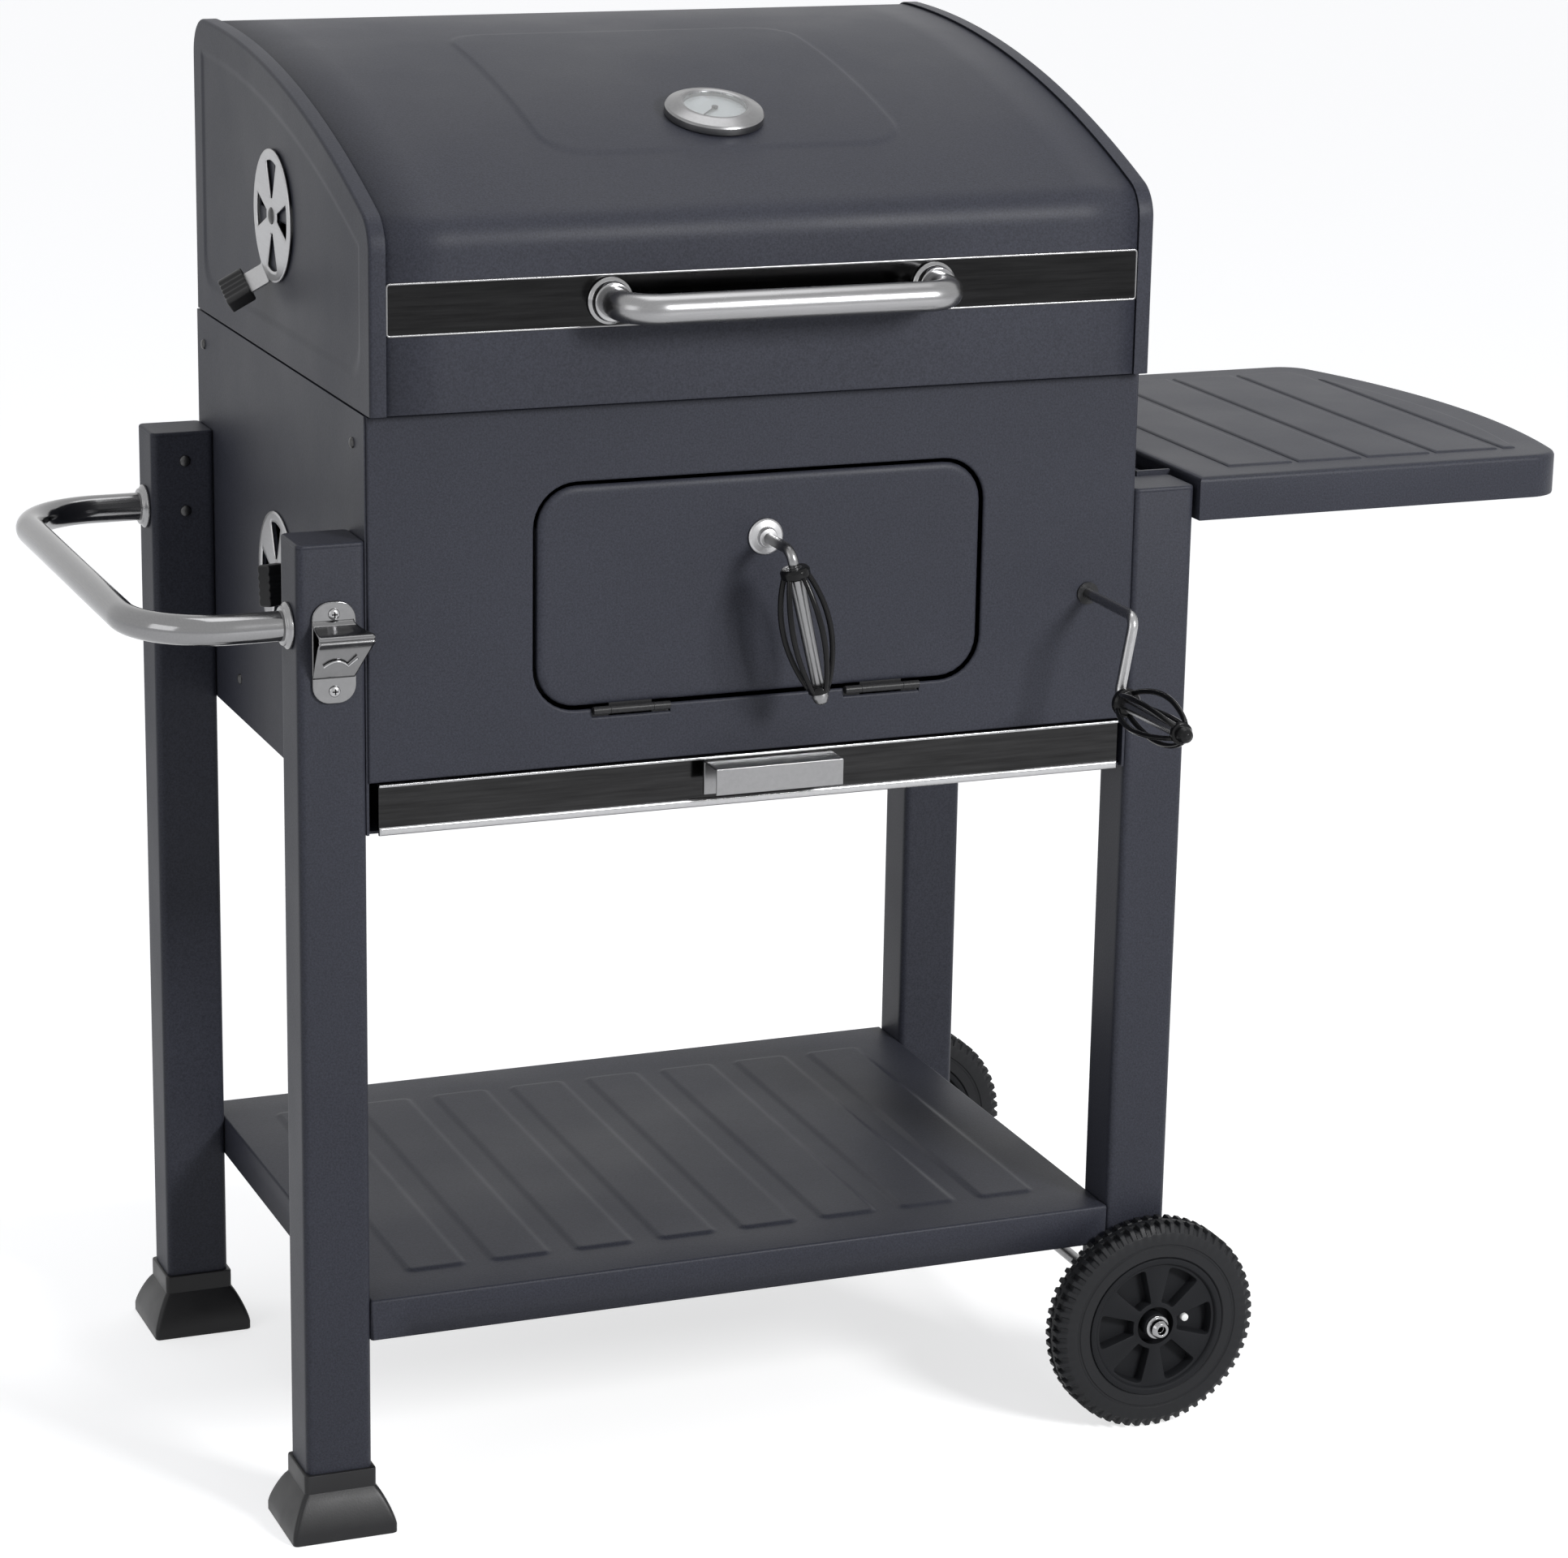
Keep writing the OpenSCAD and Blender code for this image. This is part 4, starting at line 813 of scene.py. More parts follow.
class GRILL_OT_fire_door(bpy.types.Operator):
    """Adds the fire door: a pressed sheet whose face rolls back all round"""

    bl_idname = "grill.fire_door"
    bl_label = "Fire door"

    def execute(self, context):
        a, b = ends("fire_door")
        pillow, deep, wide, corner = context.scene.grill_sizes.pillow, 3.2 * MM, 1.6 * MM, 30 * MM
        outline = box_outline(a[::2], b[::2], corner)
        rows = [(0, a[1] + deep + 0.4 * MM)]
        rows += [(pillow * inset, a[1] + deep * depth) for inset, depth in quarter_round(1, 7)]
        rows += [(pillow + 3 * MM, a[1]), (28 * MM, a[1])]
        door = skin(rings_of([(outline(inset), y) for inset, y in rows], DEPTH), caps="end")
        sheet_piece("Fire_door", door, "door", 1.4 * MM, ("fire_door",))
        z0, z1 = a[2] + corner, b[2] - corner
        rims = [front_plate((x, z0), (x + wide, z1), 0.2 * MM, b[1], 6 * MM, 0.2 * MM) for x in (a[0], b[0] - wide)]
        piece("Fire_door_rims", rims, "paint", "door")
        return {"FINISHED"}


class GRILL_OT_drawer(bpy.types.Operator):
    """Adds the ash drawer's polished front, folded at its top and bottom, and its channel pull"""

    bl_idname = "grill.drawer"
    bl_label = "Ash drawer"

    def execute(self, context):
        a, b = ends("drawer_front")
        depth, top, foot, low, high = b[1] - a[1], 2 * MM, 6.5 * MM, a[::2], b[::2]
        face = front_plate(
            low + (0, foot - 1 * MM), high - (0, top / 2), 0.4 * MM, b[1], depth - 2 * MM, 0.2 * MM)
        # The face's polished steel is painted dark to stand for its dark reflection; the lips above and below keep the
        # bright steel.
        piece("Drawer_front", [face], "mirror_painted_dark", "drawer", ("drawer_front",))
        lips = [
            front_plate((a[0], b[2] - top), high, 0.8 * MM, b[1], depth, 0.6 * MM),
            front_plate(low, (b[0], a[2] + foot), 0.4 * MM, b[1], depth, 1.9 * MM),
        ]
        piece("Drawer_front_lips", lips, "bright", "drawer")
        (x0, y0, z0), (x1, y1, z1) = ends("drawer_pull")
        t, drop = 1.5 * MM, 6 * MM
        section = [(y1, z0), (y1, z1), (y0, z1), (y0, z0 + drop)]
        section += [(y0 + t, z0 + drop), (y0 + t, z1 - t), (y1 - t, z1 - t), (y1 - t, z0)]
        pull = skin(rings_of([(section, x0), (section, x1)], ACROSS))
        piece("Drawer_pull", [pull], "edge", "drawer", ("drawer_pull",), width=0.6 * MM)
        # The drawer inside the body gets the paint darkened to 0.8 of its colour: painted shade.
        dress("paint_shaded_copy", "ash_drawer")
        return {"FINISHED"}


class GRILL_OT_lid(bpy.types.Operator):
    """Adds the lid's sheet with its raised field, its two pressed end caps and the polished strip on its front"""

    bl_idname = "grill.lid"
    bl_label = "Lid"

    def execute(self, context):
        self.sheet(context.scene.grill_sizes)
        for side, node in ((-1, "lid_cap_left"), (1, "lid_cap_right")):
            self.cap(side, node)
        a, b = ends("lid_trim")
        outline, t, at = box_outline(a[::2], b[::2], 3 * MM), b[1] - a[1], (0, b[1], 0)
        strip = slab(lambda inset: outline(inset + 1.2 * MM), t - 0.3 * MM, 0.1 * MM, FRONT, at)
        # The strip's face carries the same painted dark reflection.
        piece("Lid_trim", [strip], "mirror_painted_dark", "lid", ("lid_trim",))
        rows = [(0, 0), (0, t - 0.4 * MM), (0.4 * MM, t), (1.3 * MM, t), (1.6 * MM, t - 0.5 * MM), (1.6 * MM, 0)]
        edge = skin(rings_of([(outline(inset), height) for inset, height in rows], FRONT, at), wrap_rows=True)
        piece("Lid_trim_edge", [edge], "edge", "lid", sharp=60)
        return {"FINISHED"}

    def sheet(self, sizes):
        """Point (x, s) is the lid's path at s, moved out along the path's normal by the field's height there."""
        a, b = ends("lid_shell")
        middle, half, corner, rise, fold = (a[0] + b[0]) / 2, 142 * MM, 35 * MM, 1.2 * MM, 14 * MM
        from_front, from_back, above = 82 * MM, 124 * MM, 110 * MM
        x0, x1, y0, y1 = middle - half, middle + half, a[1] + from_front, b[1] - from_back
        xs = feature_lines(a[0], b[0], 12, [x0, x1], 8 * MM, 4)
        xs = np.unique(np.concatenate([xs, np.linspace(x0, x0 + corner, 10), np.linspace(x1 - corner, x1, 10)]))
        path = lid_path(0, 130, 0.8 * MM)
        path = np.concatenate([[path[0] + (fold, 0)], path, [path[-1] - (fold, 0)]])
        out = plane_normals(path)
        x, y = np.meshgrid(xs, path[:, 0], indexing="ij")
        z = np.broadcast_to(path[:, 1], x.shape)
        lift = rise * raised(x, y, (x0, y0), (x1, y1), corner, sizes.slope) * (z > a[2] + above)
        points = np.stack([x, y + lift * out[:, 0], z + lift * out[:, 1]], 2)
        sheet_piece("Lid_shell", skin(points, closed=False, caps=False), "lid", 1.4 * MM, ("lid_shell",))

    def cap(self, side, node):
        """Rings of the lid's path at growing insets: a lapping rim, a rolled edge, a flat border, a pressed groove
        and a flat field. The left cap's field ends on a circle round its vent, with windows inside that circle."""
        a, b = ends(node)
        face, lap = (a[0], b[0]) if side < 0 else (b[0], a[0])
        proud, edge, deep, border, slope = 1.8 * MM, 2.4 * MM, 1.1 * MM, 21 * MM, 7 * MM
        rows = [(-0.2 * MM, lap), (-proud, lap), (-proud, face - side * edge)]
        rows += [(inset - proud, face - side * depth) for inset, depth in quarter_round(edge, 6)[1:]]
        rows += [(1.2 * MM, face), (border - 1 * MM, face), (border, face)]
        rows += [(border + slope * k, face - side * deep * smooth_step(k, 0, 1)) for k in np.linspace(0, 1, 7)[1:]]
        field = face - side * deep
        rows += [(29 * MM, field)]
        outlines = [(lid_path(inset, corner=max(inset, 0) * 0.9), x) for inset, x in rows]
        if side < 0:
            hole = 44 * MM
            hub = joint_at("lid_vent_turn") * (0, 1, 1) + (field + 0.8 * MM, 0, 0)
            last = lid_path(30 * MM, corner=27 * MM)
            out = unit(last - hub[1:])
            outlines += [(p, field) for p in (last, hub[1:] + (hole + 1.5 * MM) * out, hub[1:] + hole * out)]
            sheet_piece("Lid_vent_plate", vent_plate(hub, hole + 0.2 * MM, 22.5), "lid", 1.6 * MM, offset=0.0)
        cap = skin(rings_of(outlines, ACROSS), caps=False if side < 0 else "end")
        sheet_piece(node.title(), cap, "lid", 1.6 * MM, (node,))


def stepped_flange(point, axis, bore, height):
    """A pressed flange round a tube: a low foot, a rounded shoulder and a narrow top."""
    outer = 17 * MM
    shoulder = [(outer, 2.4 * MM), (outer - 2.6 * MM, 4.2 * MM), (outer - 3 * MM, height)]
    return lathe(soft_profile([(bore, 0), (outer, 0), *shoulder, (bore, height)], 1 * MM, 4), point, axis, 48)


class GRILL_OT_handles(bpy.types.Operator):
    """Adds the lid handle and the push handle: bent tubes in stepped flanges"""

    bl_idname = "grill.handles"
    bl_label = "Handles"

    def execute(self, context):
        a, b = ends("lid_handle")
        r = (b[2] - a[2]) / 2
        x0, x1, y, z, foot = a[0] + r, b[0] - r, a[1] + r, mid("lid_handle")[2], b[1]
        path = rounded_path([(x0, foot, z), (x0, y, z), (x1, y, z), (x1, foot, z)], 25 * MM, 14)
        piece("Lid_handle", [tube(path, r, 40)], "satin", "lid", ("lid_handle",))
        feet = [stepped_flange((x, foot, z), -Y, r, 10 * MM) for x in (x0, x1)]
        piece("Lid_handle_flanges", feet, "chrome", "lid", ("lid_handle_flanges",))
        a, b = ends("push_handle")
        y0, y1, x, z, foot = a[1] + r, b[1] - r, a[0] + r, mid("push_handle")[2], b[0]
        path = rounded_path([(foot, y0, z), (x, y0, z), (x, y1, z), (foot, y1, z)], 65 * MM, 20)
        piece("Push_handle", [tube(path, r, 40)], "tube", "cart", ("push_handle",))
        feet = [stepped_flange((foot, y, z), -X, r, 6 * MM) for y in (y0, y1)]
        piece("Push_handle_flanges", feet, "satin", "cart", ("push_handle_flanges",))
        return {"FINISHED"}


class GRILL_OT_thermometer(bpy.types.Operator):
    """Adds the lid thermometer: a faceted polished bezel, a dial with plain marks, a needle and a glass"""

    bl_idname = "grill.thermometer"
    bl_label = "Thermometer"

    def execute(self, context):
        w = joint_axis("needle_turn")
        v = np.cross(w, X)
        hub = joint_at("needle_turn") + 1.2 * MM * w
        dial_r = 23.4 * MM
        corners = mm((4, 0), (36.4, 0), (37, 0.8), (37, 5.6), (35.8, 7.2), (27.5, 10.2), (25.4, 10.5), (23.4, 9.6),
                     (23.4, 4.5), (4, 4.5))
        bezel = lathe(soft_profile(corners, 0.35 * MM, 2), hub, w, 72)
        piece("Thermometer_bezel", [bezel], "edge", "lid", ("thermometer_bezel",), sharp=60)
        disc = lathe(mm((1.1, 4.5), (23.4, 4.5), (23.4, 5.3), (1.1, 5.3)), hub, w, 64)
        piece("Thermometer_dial", [disc], "dial", "lid", ("thermometer_dial",))
        marks = []
        for k in range(19):
            out, side = turned(math.radians(-135 + 15 * k), v, X)
            long = (3.8 if k % 3 else 5) * MM
            outline = box_outline((dial_r - long, -0.22 * MM), (dial_r - 2.6 * MM, 0.22 * MM), 0.1 * MM)
            marks.append(slab(outline, 0.15 * MM, 0.05 * MM, (out, side, w), hub + 5.28 * MM * w, 1))
        piece("Dial_marks", marks, "zinc", "lid", slot="needle_black")
        dress("zinc", "thermometer_stem")
        dress("black", "thermometer_needle")
        pane = lathe(mm((0, 8.2), (23.4, 8.2), (23.4, 9.4), (0, 9.4)), hub, w, 64)
        piece("Thermometer_glass", [pane], "glass", "lid", ("thermometer_glass",))
        return {"FINISHED"}


class GRILL_OT_vents(bpy.types.Operator):
    """Adds the two round air vents: a disc with four windows, a rivet, a bent lever strap and a ribbed sleeve"""

    bl_idname = "grill.vents"
    bl_label = "Vents"

    def execute(self, context):
        for name, turn in (("lid_vent", -66), ("body_vent", 172)):
            self.vent(name, joint_at(f"{name}_turn"), math.radians(turn))
        return {"FINISHED"}

    def vent(self, name, pivot, turn):
        """One vent: its lever points away from the pivot at an angle from Y towards Z and bends outwards."""
        hub = pivot * (0, 1, 1)
        out, side = turned(turn, Y, Z)
        t, face, half_strap, dome_r = 1.5 * MM, pivot[0] - 0.8 * MM, 12 * MM, 6.5 * MM
        strap_from, bend_at, strap_end, sleeve_at, sleeve_long = 44 * MM, 50 * MM, 31 * MM, 15 * MM, 20 * MM
        disc = vent_plate(hub + (face + t / 2) * X, 49 * MM)
        sheet_piece(f"{name.title()}_disc", disc, name, t, look="plate", offset=0.0)
        lean = math.radians(34)
        along = np.array([math.sin(lean), -math.cos(lean)])
        knee = np.array([bend_at, face + t / 2])
        corners = [(strap_from, knee[1], 0), (*knee, 0), (*(knee + strap_end * along), 0)]
        path = rounded_path(corners, 3 * MM, 6)[:, :2]
        norm = plane_normals(path) * t / 2
        loop = np.concatenate([path + norm, (path - norm)[::-1]])
        strap = skin(rings_of([(loop, -half_strap), (loop, half_strap)], (out, X, side), hub))
        dome = [(dome_r * math.sin(k), 0.2 * MM - 2.2 * MM * math.cos(k)) for k in np.linspace(0.15, math.pi / 2, 7)]
        rivet = lathe([(0, -2 * MM), *dome, (dome_r, t), (0, t)], hub + face * X, X, 28)
        back = lathe(mm((0, 1.5), (3, 1.5), (3, 4), (6, 4), (6, 5.3), (0, 5.3)), hub + face * X, X, 20)
        piece(f"{name.title()}_lever", [strap], "plate", name, (f"{name}_disc",), sharp=50)
        piece(f"{name.title()}_rivet", [rivet, back], "zinc_dark", name, sharp=50)
        direction = along[0] * out + along[1] * X
        start = hub + knee[0] * out + knee[1] * X + sleeve_at * direction
        sleeve = slab(self.section, sleeve_long, 1.2 * MM, (side, np.cross(side, direction), direction), start)
        piece(f"{name.title()}_knob", [sleeve], "black", name, (f"{name}_knob",), sharp=60)

    def section(self, inset):
        """The sleeve's section: where a ray at angle t meets |x / a|^8 + |y / b|^8 = 1. Four shallow flutes, each a
        cosine wave, are then taken off its broad faces."""
        a, b, fluted, dip = 15.5 * MM - inset, 6 * MM - inset, 11.5 * MM, 0.9 * MM
        ray = rays(full_turn(200))
        flat = ray * (np.abs(ray / (a, b)) ** 8).sum(1)[:, None] ** (-1 / 8)
        wave = np.where(np.abs(flat[:, 0]) < fluted, (1 - np.cos(4 * np.pi * flat[:, 0] / fluted)) / 2, 0)
        flat[:, 1] -= np.sign(flat[:, 1]) * dip * wave
        return flat


def cage_wires(base, axis, side, length, count=5):
    """Bowed wires of a cage grip. Along the grip, t from 0 to 1, a wire's distance from the axis is
    end + (bow - end) * sin(pi t)^0.8, a belly that flattens in the middle."""
    end, bow, wire = 7.2 * MM, 18.2 * MM, bpy.context.scene.grill_sizes.wire
    t = np.linspace(0, 1, 33)
    r = end + (bow - end) * np.sin(np.pi * t) ** 0.8
    other = np.cross(axis, side)
    wires = []
    for angle in full_turn(count):
        path = base + t[:, None] * length * axis + r[:, None] * turned(angle, side, other)[0]
        wires.append(tube(path, wire * (1.05 - 0.2 * np.abs(t - 0.4)), 12))
    return wires


def cage_grip(start, axis, side, offset, dark_tip):
    """The parts of a cage grip along axis from start: the polished rod's lathe, then the black collar, ring and
    wires. The rod tapers towards the tip, whose acorn is polished or black."""
    at = start + offset * axis

    def part(profile, radius, steps=3):
        """A turned part of the grip from rows in millimetres."""
        return lathe(soft_profile(mm(*profile), radius * MM, steps), at, axis, 32)

    rod = part([(0, 8), (6, 8), (6, 17), (4.6, 105), (0, 105)], 0.5, 2)
    acorn = part([(0, 103), (6, 104.5), (6.4, 108), (4.8, 112), (2, 114), (0, 114)], 0.8)
    collar = part([(6, 8), (9.6, 8), (11, 10), (11, 14), (9.4, 16), (6, 16)], 0.8)
    cap = part([(4.4, 99), (7.6, 99), (8.4, 101), (8.2, 104.4), (4.4, 104.8)], 0.7)
    black = [collar, cap, *cage_wires(at + 12 * MM * axis, axis, side, 90 * MM)]
    return ([rod], black + [acorn]) if dark_tip else ([rod, acorn], black)


class GRILL_OT_grips(bpy.types.Operator):
    """Adds the fire door's turning handle and the charcoal lift's crank, each a bent rod with a wire cage grip"""

    bl_idname = "grill.grips"
    bl_label = "Cage grips"

    def execute(self, context):
        bend, rod_r, stand_off, crank_arm = 9 * MM, 4 * MM, 115 * MM, 62 * MM
        hub = joint_at("door_handle_turn")
        down, side = turned(math.radians(12.9), -Z, X)
        front = hub + (lo("door_handle_rod")[1] - hub[1] + 6 * MM) * Y
        stalk = round_rod([hub + 9 * MM * Y, front, front + 13 * MM * down], bend, rod_r)
        rod, black = cage_grip(front + 5 * MM * down, down, side, 0.0, False)
        piece("Door_handle_rod", [stalk] + rod, "edge", "door_handle", ("door_handle_rod",), sharp=50)
        piece("Door_handle_grip", black, "wire", "door_handle", ("door_handle_grip",), sharp=50)
        rose = soft_profile(
            mm((4.05, 0), (13.5, 0), (13.5, 1.6), (12, 2.8), (7.6, 3.4), (7, 7.6), (4.05, 8)), 0.7 * MM, 4)
        flange = lathe(rose, hub * (1, 0, 1) + lo("fire_door") * (0, 1, 0), -Y, 40)
        piece("Door_handle_flange", [flange], "plate", "door", ("door_handle_flange",), sharp=50)
        hub = joint_at("crank_turn") * (1, 0, 1)
        down, side = turned(math.radians(-9.8), -Z, X)
        top = hub + (lo("crank_grip")[1] + stand_off) * Y
        foot = top + crank_arm * down
        shaft = round_rod([hub + hi("crank_shaft")[1] * Y, top, foot, foot - 10.5 * MM * Y], bend, rod_r)
        rod, black = cage_grip(foot, -Y, side, 1 * MM, True)
        piece("Crank_shaft", [shaft] + rod, "bright", "crank", ("crank_shaft",), sharp=50)
        piece("Crank_grip", black, "wire", "crank", ("crank_grip",), sharp=50)
        return {"FINISHED"}


OPENER_HALF, OPENER_PLATE = 16 * MM, 2.5 * MM


class GRILL_OT_bottle_opener(bpy.types.Operator):
    """Adds the bottle opener: a backing plate and a pressed hood with a rolled lip and a curved tooth"""

    bl_idname = "grill.bottle_opener"
    bl_label = "Bottle opener"

    def execute(self, context):
        a, b = ends("bottle_opener")
        middle, back = np.array([a[0] + OPENER_HALF, 0, (a[2] + b[2]) / 2]), b[1]
        right = a[0] + 2 * OPENER_HALF
        plate = front_plate(a[::2], (right, b[2]), 13 * MM, back, OPENER_PLATE, 0.7 * MM, 3, 0.1 * MM)
        piece("Bottle_opener_plate", [plate], "nickel", "cart", ("bottle_opener",), sharp=50)
        sheet_piece("Bottle_opener_hood", self.hood(middle, back), "cart", 1.3 * MM, look="nickel", sharp=40)
        # The tooth is a bar of brighter steel than the darker hood: a real curved tooth with a painted highlight along
        # it.
        x = np.linspace(-9.6, 8, 15)
        z = -8.4 + 4.4 * (1 - ((x + 0.8) / 8.8) ** 2)
        reach = 10.8 + 0.45 * (z + 6)
        arch = np.stack([middle[0] + x * MM, back - reach * MM, middle[2] + z * MM], 1)
        arch = np.vstack([arch, arch[-1] + np.array([6, -3.9, 6.2]) * MM])
        piece("Bottle_opener_tooth", [tube(arch, 0.9 * MM, 12)], "bright", "cart")
        return {"FINISHED"}

    def hood(self, middle, back):
        """Rows of (height, reach from the leg, right edge) carried from the left edge to the right one."""
        table = mm(
            (24, 2.4, 14.5), (21.5, 3.2, 15), (19.2, 6, 17), (17.4, 12, 20), (16.2, 17, 24), (15.2, 19, 25),
            (14, 19.9, 25), (12.9, 19.7, 25), (12.2, 18.9, 25), (11.5, 19.7, 25), (10.4, 19.9, 25), (9.2, 19, 25),
            (8.2, 17.4, 25), (3.6, 14.6, 23.4), (-6, 9.2, 19.5), (-15.5, 4.6, 15.6), (-17, 3.6, 15.2),
            (-18.6, 2.4, 15),
        )
        left = -15.8 * MM
        x = left + (table[:, 2:] - left) * np.linspace(0, 1, 29)
        z, reach = (np.broadcast_to(column[:, None], x.shape) for column in table.T[:2])
        points = np.stack([middle[0] + x, back - reach, middle[2] + z], 2)
        return skin(points, closed=False, caps=False)


class GRILL_OT_screws(bpy.types.Operator):
    """Adds the screw heads: dark domes on the panels and a leg, and polished ones on the opener, whose cross slots are
    black bars laid over the heads: painted shade
    """

    bl_idname = "grill.screws"
    bl_label = "Screws"

    def execute(self, context):
        left, right, leg = lo("side_panel_left"), hi("side_panel_right"), lo("leg_back_left")
        holes = left[1:] + mm((28, 281), (438, 280), (343, 32))
        dark = [self.head((x, *hole), way, 4 * MM) for x, way in ((left[0], -X), (right[0], X)) for hole in holes]
        top = hi("leg_back_left")[2]
        dark += [self.head((leg[0] + 26.5 * MM, leg[1], top + d * MM), -Y, 4.5 * MM) for d in (-60, -20)]
        a, b = ends("bottle_opener")
        x, front, middle = a[0] + OPENER_HALF, b[1] - OPENER_PLATE, (a[2] + b[2]) / 2
        heights = [middle + d * MM for d in (-28, 28)]
        bright = [self.head((x, front, z), -Y, 4.2 * MM) for z in heights]
        piece("Panel_screws", dark, "zinc_dark", "cart", ("screws",), sharp=50)
        piece("Opener_screws", bright, "bright", "cart", sharp=50)
        # Black bars laid across the opener's screw heads stand for their cross slots: painted shade of the slots, on
        # heads whose slot is steel.
        bar = box_outline(*mm((-2.2, -0.5), (2.2, 0.5)), 0.2 * MM)
        slot_shade_bars = [slab(bar, 0.45 * MM, 0.05 * MM, axes, (x, front - 2 * MM, z), 1)
                 for z in heights for axes in (FRONT, (Z, X, -Y))]
        piece("Opener_screw_slots", slot_shade_bars, "wire", "cart", slot=STEEL_SLOT)
        return {"FINISHED"}

    def head(self, point, axis, radius):
        """A domed head: a low rim, then an ellipse quarter 2.4 mm high."""
        rim, rise = 0.5 * MM, 1.9 * MM
        dome = [(radius * math.cos(k), rim + rise * math.sin(k)) for k in np.linspace(0, np.pi / 2, 6)[1:-1]]
        return lathe([(0, -0.6 * MM), (radius, -0.6 * MM), (radius, rim), *dome, (0, rim + rise)], point, axis, 24)


class GRILL_OT_wheels(bpy.types.Operator):
    """Adds the two wheels: six-spoked centres, tyres with two rows of tread lugs, the axle and its nuts"""

    bl_idname = "grill.wheels"
    bl_label = "Wheels"

    def execute(self, context):
        nut = soft_profile(mm((0, -5), (4.9, -5), (4.9, 0), (9.5, 0), (9.5, 1.4), (7.5, 1.6), (7.4, 6.6), (5.6, 9),
                              (3.6, 9), (3.4, 5), (0, 5)), 0.4 * MM)
        for side, out, end in (("front", -Y, lo), ("back", Y, hi)):
            hub = self.hub(side)
            self.centre(side, hub, out)
            self.tyre(side, hub, out)
            base = hub * (1, 0, 1) + end("hub_nuts") * (0, 1, 0) - 9 * MM * out
            piece(f"Hub_nut_{side}", [lathe(nut, base, out, 36)], "chrome", "cart", sharp=35)
        profile = soft_profile(mm((0, 0), (3, 0), (3, 4), (0, 4.6)), 0.5 * MM)
        plug = lathe(profile, self.hub("front") + np.array([25, -9, 4]) * MM, -Y, 24)
        piece("Wheel_plug", [plug], "white", "front_wheel")
        dress("zinc", "wheel_axle")
        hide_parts("hub_nuts")
        return {"FINISHED"}

    def hub(self, side):
        """The middle of a wheel: on its joint's axis, halfway across its tyre."""
        return joint_at(f"{side}_wheel_spin") * (1, 0, 1) + mid(f"tyre_{side}") * (0, 1, 0)

    def centre(self, side, hub, out):
        """A turned rim, hub and thin disc between them, with a raised web on both faces of the disc."""
        rim = mm((51, 12), (52.6, 14), (57, 14), (57, -14), (52.6, -14), (51, -12))
        disc = mm((9, 1.5), (52, 1.5), (52, -1.5), (9, -1.5))
        boss = mm((5.05, 14), (8.4, 14), (10, 12.4), (10, -12.4), (8.4, -14), (5.05, -14))
        parts = [lathe(soft_profile(rim, 0.7 * MM, 2), hub, out, 96), lathe(disc, hub, out, 96)]
        parts.append(lathe(soft_profile(boss, 0.6 * MM, 2), hub, out, 48))
        for face in (out, -out):
            parts += self.web(hub, face, 15.5 * MM, 51.4 * MM, 11.5 * MM, 0.8 * MM)
        piece(f"Wheel_{side}", parts, "wheel", f"{side}_wheel", (f"wheel_{side}",))

    def web(self, hub, face, r0, r1, high, low):
        """Six sectors of a raised web, each a frame round a pocket. In the plane of radius r and arc v = 34 mm times
        the angle, a pocket's edge is (|cos t / a|^14 + |sin t / b|^14)^(-1/14) from its middle, and the sector's edge
        is where the same ray leaves its rectangle. Only the walls at r0 and r1 are kept on the outside."""
        turn = middle = 34 * MM
        wide = turn * math.pi / 6
        a, b = 14.6 * MM, turn * math.radians(17)
        corners = [math.atan2(y, x) % (2 * math.pi) for x in (r0 - middle, r1 - middle) for y in (-wide, wide)]
        t = np.unique(np.concatenate([full_turn(96), corners]))
        ray = rays(t)
        with np.errstate(divide="ignore"):
            over = np.where(ray[:, 0] > 0, r1 - middle, middle - r0) / np.abs(ray[:, 0])
            across = wide / np.abs(ray[:, 1])
        edge = ray * np.minimum(over, across)[:, None]

        def pocket(grow):
            """The pocket's outline grown by an amount."""
            size = np.abs(ray / (a + grow, b + grow))
            return ray * (size**14).sum(1)[:, None] ** (-1 / 14)

        rows = [(edge, low), (edge, high), (pocket(1 * MM), high), (pocket(0.3 * MM), high - 0.3 * MM)]
        rows += [(pocket(0), high - 1 * MM), (pocket(-0.5 * MM), low)]
        half_way = (np.append(t, t[0] + 2 * np.pi)[1:] + t) / 2
        reach = np.where(np.cos(half_way) > 0, r1 - middle, middle - r0)
        keep = np.ones((len(rows) - 1, len(t)), bool)
        keep[0] = np.abs(np.sin(half_way)) / wide < np.abs(np.cos(half_way)) / reach
        axes = X, np.cross(face, X), face
        parts = []
        for start in np.radians(np.arange(0, 360, 60)):
            bent = [((middle + flat[:, :1]) * rays(flat[:, 1] / turn + start), height) for flat, height in rows]
            parts.append(skin(rings_of(bent, axes, hub), caps=False, keep=keep))
        return parts

